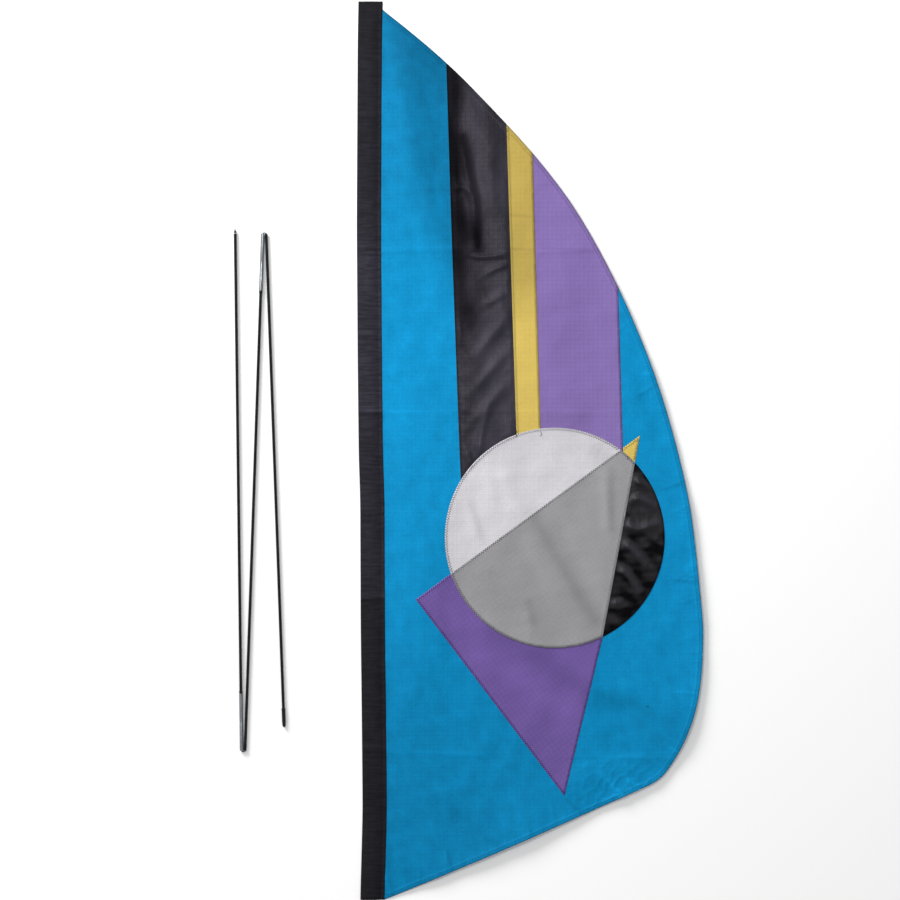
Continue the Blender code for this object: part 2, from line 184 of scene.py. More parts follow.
def addNode(tree, kind, inputs=None, **settings):
    # a node with its settings, each input set to a value or joined to an output
    node = tree.nodes.new(kind)
    for key, value in settings.items():
        setattr(node, key, value)
    for key, value in (inputs or {}).items():
        if isinstance(value, bpy.types.NodeSocket):
            tree.links.new(value, node.inputs[key])
        else:
            node.inputs[key].default_value = value
    return node


def calc(tree, operation, *values):
    return addNode(tree, "ShaderNodeMath", dict(enumerate(values)), operation=operation).outputs[0]


def mixColour(tree, factor, a, b, blend="MIX"):
    mix = addNode(tree, "ShaderNodeMix", {"Factor": factor, 6: a, 7: b}, data_type="RGBA", blend_type=blend)
    return mix.outputs[2]


def noise(tree, vector, scale, detail=2.0, roughness=0.5, kind="FBM"):
    inputs = {"Vector": vector, "Scale": scale, "Detail": detail, "Roughness": roughness}
    return addNode(tree, "ShaderNodeTexNoise", inputs, noise_type=kind).outputs["Fac"]


def mapRange(tree, value, fromLow, fromHigh, toLow, toHigh, kind="SMOOTHSTEP"):
    inputs = {"Value": value, "From Min": fromLow, "From Max": fromHigh, "To Min": toLow, "To Max": toHigh}
    return addNode(tree, "ShaderNodeMapRange", inputs, interpolation_type=kind).outputs["Result"]


def stretched(tree, vector, scale, turn=0.0):
    inputs = {"Vector": vector, "Scale": scale, "Rotation": (0, 0, turn)}
    return addNode(tree, "ShaderNodeMapping", inputs).outputs[0]


def newMaterial(name, colour, roughness, **sockets):
    material = bpy.data.materials.new(name)
    material.use_nodes = True
    tree = material.node_tree
    shader = tree.nodes["Principled BSDF"]
    shader.inputs["Base Color"].default_value = (*colour, 1.0)
    shader.inputs["Roughness"].default_value = roughness
    for socket, value in sockets.items():
        shader.inputs[socket.replace("_", " ")].default_value = value
    return material, tree, shader


def objectPlace(tree):
    return tree.nodes.new("ShaderNodeTexCoord").outputs["Object"]


def scaled(colour, share):
    return (*(c * share for c in colour), 1.0)


def setRelief(tree, shader, height, strength, distance):
    bump = addNode(tree, "ShaderNodeBump", {"Height": height, "Strength": strength, "Distance": distance})
    tree.links.new(bump.outputs["Normal"], shader.inputs["Normal"])


def groupShell(name, inputs, outputs):
    tree = bpy.data.node_groups.new(name, "ShaderNodeTree")
    for label, value in inputs.items():
        kind = "NodeSocketVector" if isinstance(value, tuple) else "NodeSocketFloat"
        tree.interface.new_socket(label, in_out="INPUT", socket_type=kind).default_value = value
    for label in outputs:
        tree.interface.new_socket(label, in_out="OUTPUT", socket_type="NodeSocketFloat")
    return tree, tree.nodes.new("NodeGroupInput").outputs, tree.nodes.new("NodeGroupOutput").inputs


def makeRipstopGroup():
    # Woven nylon with a heavier thread every few millimetres each way.
    # Height is the relief in the cloth, Grid the heavier threads and Yarn the fine ones.
    tree, start, end = groupShell("ripstopWeave", {"Vector": (0, 0, 0), "Grid Spacing": 0.0054,
                                                   "Thread Spacing": 0.00032}, ("Grid", "Yarn", "Height"))
    split = addNode(tree, "ShaderNodeSeparateXYZ", {0: start["Vector"]}).outputs
    wobble = noise(tree, start["Vector"], 160.0, 1.0)
    gridLines, yarns = [], []
    for axis in ("X", "Y"):
        moved = calc(tree, "MULTIPLY_ADD", wobble, 0.0006, split[axis])
        cell = calc(tree, "FRACT", calc(tree, "DIVIDE", moved, start["Grid Spacing"]))
        offMiddle = calc(tree, "ABSOLUTE", calc(tree, "SUBTRACT", cell, 0.5))
        gridLines.append(mapRange(tree, offMiddle, 0.0, 0.13, 1.0, 0.0))
        turns = calc(tree, "DIVIDE", split[axis], start["Thread Spacing"])
        wave = calc(tree, "SINE", calc(tree, "MULTIPLY", turns, 2 * math.pi))
        yarns.append(calc(tree, "MULTIPLY_ADD", wave, 0.5, 0.5))
    grid = calc(tree, "MAXIMUM", *gridLines)
    yarn = calc(tree, "MULTIPLY", *yarns)
    tree.links.new(grid, end["Grid"])
    tree.links.new(yarn, end["Yarn"])
    tree.links.new(calc(tree, "MULTIPLY_ADD", yarn, 0.25, grid), end["Height"])
    return tree


def makeHandledGroup():
    # Cloth that has been folded and handled: fine crinkle in its relief and soft cloudy patches.
    tree, start, end = groupShell("handledCloth", {"Vector": (0, 0, 0), "Crinkle Scale": 90.0,
                                                   "Patch Scale": 9.0}, ("Patch", "Crinkle"))
    tree.links.new(noise(tree, start["Vector"], start["Patch Scale"], 3.0), end["Patch"])
    fine = noise(tree, start["Vector"], start["Crinkle Scale"], 2.0, kind="RIDGED_MULTIFRACTAL")
    tree.links.new(fine, end["Crinkle"])
    return tree


ripstopWeave = makeRipstopGroup()
handledCloth = makeHandledGroup()


def placeGroup(tree, group, vector, **values):
    node = addNode(tree, "ShaderNodeGroup", node_tree=group)
    tree.links.new(vector, node.inputs["Vector"])
    for label, value in values.items():
        node.inputs[label.replace("_", " ")].default_value = value
    return node.outputs


def clothShade(tree, shader, shade, factors):
    # the tone painted on the mesh, mostly painted light and shade with the hem's deeper colour and the painted
    # shade at its rim, comes last
    tone = addNode(tree, "ShaderNodeAttribute", attribute_name="tone").outputs["Fac"]
    for factor in (*factors, tone):
        shade = mixColour(tree, 1.0, shade, factor, "MULTIPLY")
    tree.links.new(shade, shader.inputs["Base Color"])
    return tone


def ripstopMaterial(name, colour, roughness=0.52, turn=0.0, gridShade=0.05, specular=0.25,
                    tint=(1.0, 1.0, 1.0), crinkle=0.5, grain=0.05, duller=False):
    material, tree, shader = newMaterial(name, colour, roughness, Specular_IOR_Level=specular,
                                         Specular_Tint=(*tint, 1.0))
    place = objectPlace(tree)
    weave = placeGroup(tree, ripstopWeave, stretched(tree, place, (1, 1, 1), turn))
    worn = placeGroup(tree, handledCloth, place)
    shade = mixColour(tree, weave["Grid"], scaled(colour, 1), scaled(colour, 1 - gridShade))
    flecks = mapRange(tree, noise(tree, place, 520.0, 2.0, 0.7), 0.3, 0.7, 1 - grain, 1 + grain, "LINEAR")
    tone = clothShade(tree, shader, shade, (flecks, mapRange(tree, worn["Patch"], 0.3, 0.7, 0.96, 1.04)))
    if duller:
        # in the black cloths the painted tone also sets the shine, so the folds painted in shade, as if turned
        # away from the light, lose their shine as well
        shine = mapRange(tree, tone, 0.15, 1.1, 0.05 * specular, 1.1 * specular, "LINEAR")
        tree.links.new(shine, shader.inputs["Specular IOR Level"])
    rough = mapRange(tree, worn["Patch"], 0.3, 0.7, roughness - 0.06, roughness + 0.06)
    tree.links.new(rough, shader.inputs["Roughness"])
    height = calc(tree, "MULTIPLY_ADD", worn["Crinkle"], crinkle, weave["Height"])
    setRelief(tree, shader, height, 0.5, 0.00012)
    return material


triangleTurn = math.radians(-36)       # the triangle's cloth is cut at a slant
cloth = {
    "blue": ripstopMaterial("blueRipstop", (0.0028, 0.224, 0.470), tint=(0.15, 0.55, 1.0), gridShade=0.035,
                            grain=0.09),
    "black": ripstopMaterial("blackRipstop", (0.0132, 0.0122, 0.0172), 0.38, crinkle=0.45, specular=0.20,
                             gridShade=0.08, tint=(0.95, 0.88, 1.0), duller=True),
    "yellow": ripstopMaterial("yellowRipstop", (0.567, 0.419, 0.102), tint=(1.0, 0.85, 0.3)),
    "purple": ripstopMaterial("purpleRipstop", (0.200, 0.135, 0.358), gridShade=0.09, tint=(0.7, 0.5, 1.0)),
    "white": ripstopMaterial("whiteRipstop", (0.531, 0.517, 0.549), gridShade=0.014),
    "grey": ripstopMaterial("greyRipstop", (0.252, 0.248, 0.259), turn=triangleTurn, gridShade=0.04),
    "segment": ripstopMaterial("segmentBlackRipstop", (0.0050, 0.0046, 0.0066), 0.36, specular=0.26,
                               gridShade=0.12, duller=True),
    "triangle": ripstopMaterial("trianglePurpleRipstop", (0.133, 0.083, 0.276), turn=triangleTurn,
                                gridShade=0.10, tint=(0.6, 0.4, 1.0)),
}


def sleeveMaterial():
    # close-woven polyester, duller than the ripstop, creased across by its folding
    colour = (0.0165, 0.0152, 0.0225)
    material, tree, shader = newMaterial("blackSleeveCloth", colour, 0.62, Specular_IOR_Level=0.12)
    place = objectPlace(tree)
    weave = placeGroup(tree, ripstopWeave, place, Thread_Spacing=0.0007)
    worn = placeGroup(tree, handledCloth, place, Crinkle_Scale=60.0, Patch_Scale=14.0)
    # the crosswise creases raise the relief and also darken and lighten the colour, as painted shade and light
    crosswise = noise(tree, stretched(tree, place, (45.0, 330.0, 45.0)), 1.0, 3.0)
    share = mapRange(tree, crosswise, 0.3, 0.7, 0.0, 1.0)
    shade = mixColour(tree, share, scaled(colour, 0.70), scaled(colour, 1.35))
    clothShade(tree, shader, shade, (mapRange(tree, worn["Patch"], 0.3, 0.7, 0.86, 1.14),))
    relief = calc(tree, "MULTIPLY_ADD", worn["Crinkle"], 0.8, weave["Yarn"])
    setRelief(tree, shader, calc(tree, "MULTIPLY_ADD", crosswise, 2.4, relief), 0.8, 0.00030)
    return material


def grainMaterial(name, colour, roughness, grain, shades, relief, detail=2.0, rough=None, smudge=None,
                  **sockets):
    # one fine grain, stretched each way, drives the relief, the roughness and, without smudges, the colour
    material, tree, shader = newMaterial(name, colour, roughness, **sockets)
    place = objectPlace(tree)
    fine = noise(tree, stretched(tree, place, grain), 1.0, detail)
    share = fine if smudge is None else mapRange(tree, noise(tree, place, smudge), 0.35, 0.7, 0.0, 1.0)
    shade = mixColour(tree, share, scaled(colour, shades[0]), scaled(colour, shades[1]))
    tree.links.new(shade, shader.inputs["Base Color"])
    if rough:
        tree.links.new(mapRange(tree, fine, 0.3, 0.7, *rough), shader.inputs["Roughness"])
    setRelief(tree, shader, fine, *relief)
    return material


def cordMaterial():
    # braided cover over the elastic
    colour = (0.014, 0.014, 0.016)
    material, tree, shader = newMaterial("blackShockCord", colour, 0.8, Specular_IOR_Level=0.2)
    split = addNode(tree, "ShaderNodeSeparateXYZ", {0: objectPlace(tree)}).outputs
    strands = []
    for sign in (1.0, -1.0):
        slant = calc(tree, "MULTIPLY_ADD", split["X"], sign, split["Y"])
        strands.append(calc(tree, "SINE", calc(tree, "MULTIPLY", slant, 9000.0)))
    braid = calc(tree, "MULTIPLY_ADD", calc(tree, "MULTIPLY", *strands), 0.5, 0.5)
    shade = mixColour(tree, braid, scaled(colour, 0.5), scaled(colour, 1.9))
    tree.links.new(shade, shader.inputs["Base Color"])
    setRelief(tree, shader, braid, 0.6, 0.0001)
    return material


def threadMaterial(name, colour):
    return grainMaterial(name, colour, 0.6, (2600.0,) * 3, (0.7, 1.25), (0.4, 0.00008), detail=1.0,
                         Specular_IOR_Level=0.12)


sleeveCloth = sleeveMaterial()
glassFibre = grainMaterial("blackGlassFibre", (0.0065, 0.0065, 0.0080), 0.42, (2200.0, 14.0, 2200.0),
                           (0.6, 1.7), (0.25, 0.00004), rough=(0.36, 0.52), Specular_IOR_Level=0.10)
ferruleMetal = grainMaterial("brightFerrule", (0.34, 0.365, 0.39), 0.30, (3000.0, 40.0, 3000.0), (1.0, 0.82),
                             (0.15, 0.00003), rough=(0.24, 0.38), smudge=240.0, Metallic=1.0)
blackRubber = grainMaterial("blackRubber", (0.0060, 0.0060, 0.0068), 0.5, (1400.0,) * 3, (0.7, 1.5),
                            (0.3, 0.00005), rough=(0.42, 0.6), Specular_IOR_Level=0.20)
shockCord = cordMaterial()
thread = {name: threadMaterial(name + "Thread", colour) for name, colour in (
    ("grey", (0.030, 0.031, 0.045)),
    ("black", (0.006, 0.006, 0.008)),
    ("sleeve", (0.011, 0.010, 0.014)),
    ("purple", (0.030, 0.014, 0.110)),
    ("olive", (0.110, 0.090, 0.020)),
    ("blue", (0.002, 0.075, 0.200)),
)}
print("materials made")


sail = {
    "net": 0.0023,             # how fine the cloth's mesh is
    "cloth": 0.00012,          # thickness of the ripstop
    "layerStep": 0.00020,      # from one layer of cloth to the next
    "rest": 0.00010,           # underside of the lowest layer above the floor
    "lap": 0.006,              # how far a panel runs under its neighbour
    "tipGap": 0.0003,          # between the purple stripe and the yellow tip
    "hemWidth": 0.0056,
    "hemStep": 0.0004,         # half the slope at its inner edge
    "hemRise": 0.00030,
    "hemTone": 0.07,           # the doubled hem shows a little deeper in colour, and its rim gets painted shade where the edge curls down
    "rimTone": 0.40,
    "leech": ((0.0, 1.0), (0.2558, 0.9202), (0.5825, 0.7854), (0.8084, 0.6283), (0.9434, 0.4711),
              (0.9937, 0.3363), (1.0, 0.2802), (0.9841, 0.2240), (0.9434, 0.1791), (0.8837, 0.1432),
              (0.8367, 0.1297)),
    "footHollow": 0.0016,
    "stripeWidths": (0.0940, 0.0680, 0.0282, 0.0972),   # blue, black, yellow, purple at the disc's centre
    "seamLeans": (1.88, 1.78, 1.58, 1.66),              # degrees towards the luff, going up
}
design = {
    "disc": (0.2030, 0.4297),
    "radius": 0.1307,
    "left": (-0.1657, -0.0731),
    "top": (0.1014, 0.1213),
    "knee": (0.0566, -0.1200),
    "foot": (0.0112, -0.3061),
}
discX, discY = design["disc"]
corner = {name: (discX + design[name][0], discY + design[name][1])
          for name in ("left", "top", "knee", "foot")}
triangleSides = (("left", "top"), ("top", "knee"), ("knee", "foot"), ("foot", "left"))

leechLine = smoothThrough([(x * sailReach, y * peakHeight) for x, y in sail["leech"]], 8)
clew = leechLine[-1]
footShare = np.linspace(0, 1, 12)
footDip = 4 * footShare * (1 - footShare) * sail["footHollow"]
footLine = np.column_stack([footShare * clew[0], footShare * clew[1] - footDip])
edgeLine = spaced(np.concatenate([leechLine, footLine[::-1][1:]]))       # peak, leech, clew, foot, tack


def seamX(number, y):
    lean = math.tan(math.radians(sail["seamLeans"][number]))
    return sum(sail["stripeWidths"][:number + 1]) - (y - discY) * lean


def insideSail(x, y):
    right = np.where(y >= clew[1], np.interp(y, leechLine[::-1, 1], leechLine[::-1, 0]), clew[0] + 1.0)
    low = np.interp(x, footLine[:, 0], footLine[:, 1])
    return (x < right) & (y > low) & (y < peakHeight) & (x > -sail["lap"])


def sideDepth(start, end, x, y):
    # how far a point lies to the right of the line from one corner of the triangle to another
    (a, b), (c, d) = corner[start], corner[end]
    return ((x - a) * (d - b) - (y - b) * (c - a)) / math.hypot(c - a, d - b)


def triangleDepth(x, y):
    return np.minimum.reduce([sideDepth(start, end, x, y) for start, end in triangleSides])


def discDepth(x, y):
    return design["radius"] - np.hypot(x - discX, y - discY)


luffBow = {
    # shares of the luff, going up, and the shift at each in millimetres
    "at": (0.0, 0.035, 0.10, 0.21, 0.30, 0.45, 0.49, 0.60, 0.75, 0.88, 0.96, 1.0),
    "shift": (1.2, 2.3, 4.1, 3.0, 1.8, 1.2, -0.5, -1.8, -2.9, -2.2, -1.8, -0.9),
    "reach": 0.10,
}
bowY = np.linspace(0, sleeveLength, 200)
bowX = np.interp(bowY, np.array(luffBow["at"]) * sleeveLength, np.array(luffBow["shift"]) * 0.001)
softener = np.hanning(15) / np.hanning(15).sum()
bowX = np.convolve(np.pad(bowX, 7, mode="edge"), softener, mode="valid")


def bow(x, y):
    # the luff lies in a slow curve that dies out across the sail
    return np.interp(y, bowY, bowX) * fade(x, luffBow["reach"])


lie = {
    "broadRise": 0.0020,
    "bandRise": 0.00085,
    "crossFolds": (              # where the flag was folded: height on the flag, rise, width, from x, to x
        (0.7705, 0.00075, 0.0034, -0.03, 0.25),
        (0.5790, 0.00035, 0.0034, -0.03, 0.38),
        (0.5045, 0.00020, 0.0040, 0.00, 0.38),
        (0.3680, 0.00025, 0.0040, 0.33, 0.40),
        (0.1735, 0.00055, 0.0034, -0.03, 0.13),
        (0.1690, 0.00070, 0.0034, 0.22, 0.37),
    ),
    "softFolds": (               # points along the fold, width, rise
        (((0.006, 1.030), (0.024, 0.925), (0.043, 0.815), (0.070, 0.735)), 0.022, 0.0018),
        (((0.052, 0.860), (0.062, 0.800)), 0.007, 0.0006),
        (((0.148, 0.500), (0.176, 0.452), (0.212, 0.390), (0.246, 0.318)), 0.016, 0.0020),
        (((0.232, 0.455), (0.262, 0.400), (0.270, 0.345)), 0.020, 0.0012),
        (((0.108, 0.330), (0.170, 0.300), (0.240, 0.258), (0.310, 0.240)), 0.017, 0.0018),
        (((0.262, 0.520), (0.268, 0.430)), 0.006, 0.0008),
        (((0.098, 0.485), (0.113, 0.425)), 0.006, 0.0008),
        (((0.120, 0.520), (0.132, 0.470)), 0.007, 0.0006),
        (((0.168, 0.345), (0.178, 0.308)), 0.007, 0.0008),
        (((0.195, 0.610), (0.240, 0.560)), 0.014, 0.0010),
        (((0.300, 0.330), (0.330, 0.255), (0.360, 0.190)), 0.018, 0.0016),
        (((0.205, 0.135), (0.255, 0.150), (0.310, 0.158)), 0.012, 0.0014),
        (((0.060, 0.150), (0.085, 0.085), (0.100, 0.050)), 0.012, 0.0012),
        (((0.0015, 0.034), (0.0085, 0.002)), 0.0030, 0.0013),
        (((0.012, 0.060), (0.030, 0.030)), 0.008, 0.0009),
        (((0.285, 0.640), (0.300, 0.590), (0.330, 0.540)), 0.012, 0.0012),
    ),
    "stripeCreases": (           # the sharper ones in the crumpled black stripe
        (((0.094, 0.905), (0.101, 0.862), (0.108, 0.828), (0.111, 0.775)), 0.0060, 0.0017),
        (((0.082, 0.842), (0.096, 0.846), (0.106, 0.833)), 0.0045, 0.0011),
        (((0.121, 0.741), (0.134, 0.749), (0.149, 0.754)), 0.0030, 0.0010),
        (((0.100, 0.766), (0.118, 0.763), (0.148, 0.766)), 0.0028, 0.0010),
        (((0.083, 0.720), (0.086, 0.690), (0.092, 0.660)), 0.0050, 0.0010),
        (((0.118, 0.705), (0.147, 0.722)), 0.0050, 0.0009),
        (((0.110, 0.645), (0.146, 0.690)), 0.0065, 0.0012),
        (((0.104, 0.600), (0.150, 0.655)), 0.0060, 0.0012),
        (((0.100, 0.560), (0.150, 0.615)), 0.0060, 0.0011),
        (((0.113, 0.520), (0.118, 0.560), (0.128, 0.590)), 0.0045, 0.0013),
        (((0.098, 0.535), (0.108, 0.508)), 0.0045, 0.0010),
        (((0.120, 0.930), (0.128, 0.880), (0.132, 0.800)), 0.0110, 0.0012),
    ),
    "segmentCreases": (          # and in the black part of the disc
        (((0.283, 0.505), (0.300, 0.497), (0.318, 0.488)), 0.0045, 0.0012),
        (((0.285, 0.470), (0.303, 0.476), (0.322, 0.466)), 0.0050, 0.0013),
        (((0.283, 0.450), (0.300, 0.440), (0.325, 0.446)), 0.0050, 0.0013),
        (((0.279, 0.425), (0.296, 0.415), (0.310, 0.398)), 0.0055, 0.0012),
        (((0.275, 0.395), (0.290, 0.385), (0.303, 0.365)), 0.0055, 0.0010),
        (((0.265, 0.350), (0.280, 0.352)), 0.0045, 0.0007),
    ),
    "puckerRise": 0.00022,
    "puckerLength": 0.0085,
    "clewRise": 0.0011,
    "edgeRise": 0.0052,          # how far the leech and the foot curl off the floor
    "edgeReach": 0.030,
}
# painted light and shade that the folds leave in a panel: points along it, width, change
shades = {
    "greyPanel": (
        (((0.178, 0.455), (0.212, 0.395), (0.250, 0.332)), 0.0075, -0.15),
        (((0.208, 0.462), (0.236, 0.400), (0.262, 0.350)), 0.0100, 0.07),
        (((0.158, 0.440), (0.190, 0.380), (0.205, 0.345)), 0.0090, 0.06),
        (((0.271, 0.510), (0.271, 0.440)), 0.0045, -0.12),
        (((0.262, 0.505), (0.260, 0.445)), 0.0060, 0.05),
        (((0.172, 0.352), (0.178, 0.330)), 0.0060, -0.13),
    ),
    "purpleTriangle": (
        (((0.130, 0.320), (0.170, 0.300), (0.240, 0.250)), 0.0130, -0.13),
        (((0.110, 0.290), (0.160, 0.262), (0.215, 0.225)), 0.0120, 0.07),
        (((0.060, 0.360), (0.085, 0.330)), 0.0100, 0.07),
    ),
    "whiteSegment": (
        (((0.100, 0.475), (0.118, 0.428)), 0.0050, -0.08),
        (((0.158, 0.482), (0.170, 0.458)), 0.0080, -0.06),
        (((0.255, 0.530), (0.270, 0.520)), 0.0100, -0.08),
        (((0.140, 0.505), (0.150, 0.470)), 0.0080, 0.05),
    ),
    "blueGround": (
        (((0.040, 0.810), (0.054, 0.720), (0.060, 0.640)), 0.0110, 0.07),
        (((0.022, 0.700), (0.026, 0.600), (0.030, 0.520)), 0.0120, 0.04),
        (((0.062, 0.600), (0.066, 0.540)), 0.0080, -0.04),
        (((0.245, 0.245), (0.280, 0.236), (0.310, 0.228)), 0.0130, -0.12),
        (((0.230, 0.160), (0.290, 0.172), (0.345, 0.176)), 0.0022, 0.10),
        (((0.010, 0.1735), (0.060, 0.174), (0.120, 0.172)), 0.0020, 0.07),
        (((0.010, 0.5800), (0.080, 0.578)), 0.0016, 0.08),
        (((0.300, 0.640), (0.322, 0.585), (0.345, 0.520)), 0.0090, 0.05),
        (((0.080, 0.100), (0.150, 0.060)), 0.0120, -0.06),
        (((0.015, 0.330), (0.050, 0.300), (0.090, 0.230)), 0.0160, 0.04),
    ),
    "purpleStripe": (
        (((0.190, 0.7735), (0.250, 0.7705)), 0.0022, -0.10),
        (((0.215, 0.580), (0.270, 0.579)), 0.0018, 0.06),
        (((0.200, 0.700), (0.210, 0.640)), 0.0120, -0.05),
    ),
    "yellowStripe": (
        (((0.150, 0.8130), (0.175, 0.8110)), 0.0018, -0.10),
        (((0.150, 0.7725), (0.185, 0.7710)), 0.0018, -0.14),
    ),
}
# rounder patches of painted light and shade: middle, half width, half height, change
spots = {
    "blueGround": ((0.080, 0.735, 0.018, 0.050, -0.11), (0.066, 0.822, 0.007, 0.035, 0.11),
                   (0.345, 0.205, 0.030, 0.035, -0.09)),
    "purpleStripe": ((0.240, 0.575, 0.035, 0.030, -0.08),),
    "whiteSegment": ((0.262, 0.528, 0.020, 0.020, -0.10),),
}
rimTones = {"whiteSegment": 0.12, "greyPanel": 0.10, "blackSegment": 0.10}     # darker at the disc's edge
broad = Ripple(3, 0.20, (1.0, 1.4))
bands = Ripple(11, 0.050, (1.0, 5.0))
smallLie = Ripple(19, 0.032)
crumple = Ripple(29, 0.015)
puckerWave = Ripple(23, lie["puckerLength"], waves=20)
blackLie = Ripple(31, 0.030, (1.0, 1.8))
edgeWave = Ripple(47, 0.12)


def ridged(wave):
    return 1 - np.abs(wave)


def foldRise(folds, x, y):
    # each fold is a low ridge that dies out at both ends
    total = np.zeros(x.shape)
    for points, width, lift in folds:
        line = smoothThrough(points)
        low, high = line.min(0) - 4 * width, line.max(0) + 4 * width
        near = (x > low[0]) & (x < high[0]) & (y > low[1]) & (y < high[1])
        if near.any():
            d, run = distanceTo(line, x[near], y[near])
            length = np.linalg.norm(np.diff(line, axis=0), axis=1).sum()
            taper = smoothStep(0.0, 0.3 * length, run) * (1 - smoothStep(0.7 * length, length, run))
            total[near] += lift * (0.25 + 0.75 * taper) * bell(d, width)
    return total


def seamDistance(x, y):
    found = [np.abs(discDepth(x, y)), np.abs(triangleDepth(x, y))]
    for number, lean in enumerate(sail["seamLeans"]):
        d = np.abs(x - seamX(number, y)) * math.cos(math.radians(lean))
        found.append(np.where((y > discY) & (discDepth(x, y) < 0), d, 1.0))
    return np.minimum.reduce(found)


puckers = {
    "seed": 61,
    "count": 46,
    "from": 0.30,              # share of the edge, from the peak, where they start
    "rise": 0.00045,
    "tone": 0.17,
}


def makeEdgePuckers():
    # short gathers that run in from the hem: points, width, and how strong
    draw = np.random.default_rng(puckers["seed"])
    made = []
    for _ in range(puckers["count"]):
        place = int(draw.integers(int(puckers["from"] * len(edgeLine)), len(edgeLine) - 6))
        way = edgeLine[place + 1] - edgeLine[place]
        way = way / np.linalg.norm(way)
        inward = np.array([way[1], -way[0]]) + way * draw.uniform(-0.5, 0.5)
        reach = draw.uniform(0.008, 0.030)
        start = edgeLine[place] + inward * 0.001
        made.append(((start, start + inward * reach), draw.uniform(0.0011, 0.0024), draw.uniform(-1, 1)))
    return made


edgePuckers = makeEdgePuckers()


def blackShare(x, y):
    # how far across the black stripe a point lies
    return (x - seamX(0, y)) / (seamX(1, y) - seamX(0, y))


def clothRise(x, y):
    # how high the cloth's underside lies, shared by every layer so that none crosses another
    away = smoothStep(0.0, 0.03, x)      # the sleeve's weight holds the luff down
    rise = away * (lie["broadRise"] * broad.raised(x, y) + lie["bandRise"] * bands.raised(x, y))
    for height, lift, width, low, high in lie["crossFolds"]:
        wander = 0.0015 * np.sin(x * 31 + height * 40)
        ends = smoothStep(low - 0.02, low + 0.02, x) * (1 - smoothStep(high - 0.02, high + 0.02, x))
        rise = rise + lift * crease(y - height - wander, width) * ends
    rise = rise + foldRise(lie["softFolds"], x, y)
    gathers = [(line, width, puckers["rise"] * abs(share)) for line, width, share in edgePuckers]
    rise = rise + foldRise(gathers, x, y)
    rise = rise + lie["puckerRise"] * puckerWave.raised(x, y) * np.exp(-seamDistance(x, y) / 0.007)
    rise = rise + 0.00035 * smallLie.raised(x, y) + 0.00010 * ridged(crumple(x, y)) ** 2
    # the corner by the clew is creased all over
    atClew = spot(x, y, 0.285, 0.130, 0.0512, 0.032)
    rise = rise + lie["clewRise"] * atClew * ridged(smallLie(x * 1.7, y * 1.7)) ** 2
    share = blackShare(x, y)
    inBlack = smoothStep(0.0, 0.10, share) * (1 - smoothStep(0.93, 1.0, share))
    inBlack = inBlack * smoothStep(discY, discY + 0.02, y) * smoothStep(-0.004, 0.004, -discDepth(x, y))
    rise = rise + inBlack * (0.0009 * blackLie.raised(x, y) + 1.6 * foldRise(lie["stripeCreases"], x, y)
                             + 0.00018 * ridged(crumple(x * 0.8, y * 0.8)) ** 2)
    inSegment = smoothStep(0.0, 0.012, discDepth(x, y)) * smoothStep(0.0, 0.010, -triangleDepth(x, y))
    inSegment = inSegment * smoothStep(corner["knee"][0] - 0.02, corner["knee"][0] + 0.02, x)
    rise = rise + inSegment * (2.1 * foldRise(lie["segmentCreases"], x, y)
                               + 0.00022 * ridged(crumple(x, y)) ** 2)
    d, run = distanceTo(edgeLine[::3], x, y)
    curl = np.exp(-d / lie["edgeReach"]) * smoothStep(0.25, 0.9, run) * smoothStep(0.0, 0.06, x)
    return rise + lie["edgeRise"] * curl * (0.8 + 0.35 * edgeWave(x, y))


def groundShading(x, y):
    # painted shade: the blue is darker towards its top and its foot, with the painted shade of a slow turn of the
    # cloth in between, and painted light and shade of crumples and gathers
    tone = 1 - 0.19 * smoothStep(0.72, 0.86, y) - 0.11 * smoothStep(0.92, 1.00, y)
    turn = np.interp(y, [0.70, 0.741, 0.813, 0.922, 1.039, 1.07], [0.092, 0.077, 0.049, 0.030, 0.009, 0.0])
    tone -= 0.19 * smoothStep(-0.014, 0.018, x - turn) * smoothStep(0.71, 0.77, y) * (x < 0.15)
    tone += 0.03 * bell(y - 0.64, 0.16) * (x < 0.15)
    tone -= 0.22 * (1 - smoothStep(0.06, 0.47, y)) * (1 - 0.45 * smoothStep(0.10, 0.26, x))
    # painted shade in a narrow strip beside the sleeve, low down
    tone -= 0.05 * fade(x, 0.008) * (1 - smoothStep(0.56, 0.60, y))
    # painted highlights on the crumpled corner by the clew
    clewSheen = spot(x, y, 0.262, 0.133, 0.055, 0.028)
    tone += clewSheen * (0.12 + 0.16 * (ridged(smallLie(x * 1.7, y * 1.7)) ** 2 - 0.4))
    # painted light and shade of small crumples
    tone += 0.030 * smallLie(x * 1.3, y * 1.3) + 0.028 * blackLie(x * 2.2, y * 2.6)
    # painted light and shade of the gathers that run in from the hem
    for line, width, share in edgePuckers:
        tone += puckers["tone"] * share * bell(distanceTo(line, x, y)[0], width)
    return tone


def blackSheenShading(x, y):
    # painted sheen: the black stripe is lit in its middle and right, dark by its left seam, lighter low down, with
    # patches
    share = blackShare(x, y)
    light = smoothStep(0.12, 0.55, share) * (0.65 + 0.35 * smoothStep(0.76, 0.86, y))
    light += 0.08 * (1 - smoothStep(0.55, 0.76, y)) * smoothStep(0.05, 0.25, share)
    tone = 0.25 + 0.95 * (1 - smoothStep(0.62, 0.76, y)) + 1.4 * light
    tone += 0.40 * blackLie(x * 0.7, y * 0.7) * (0.35 + 0.65 * smoothStep(0.0, 0.45, share))
    # painted shade beside the stripe's main crease
    fromMainCrease = distanceTo(smoothThrough(lie["stripeCreases"][0][0]), x - 0.003, y)[0]
    return np.maximum(tone - 0.55 * bell(fromMainCrease, 0.007), 0.2)


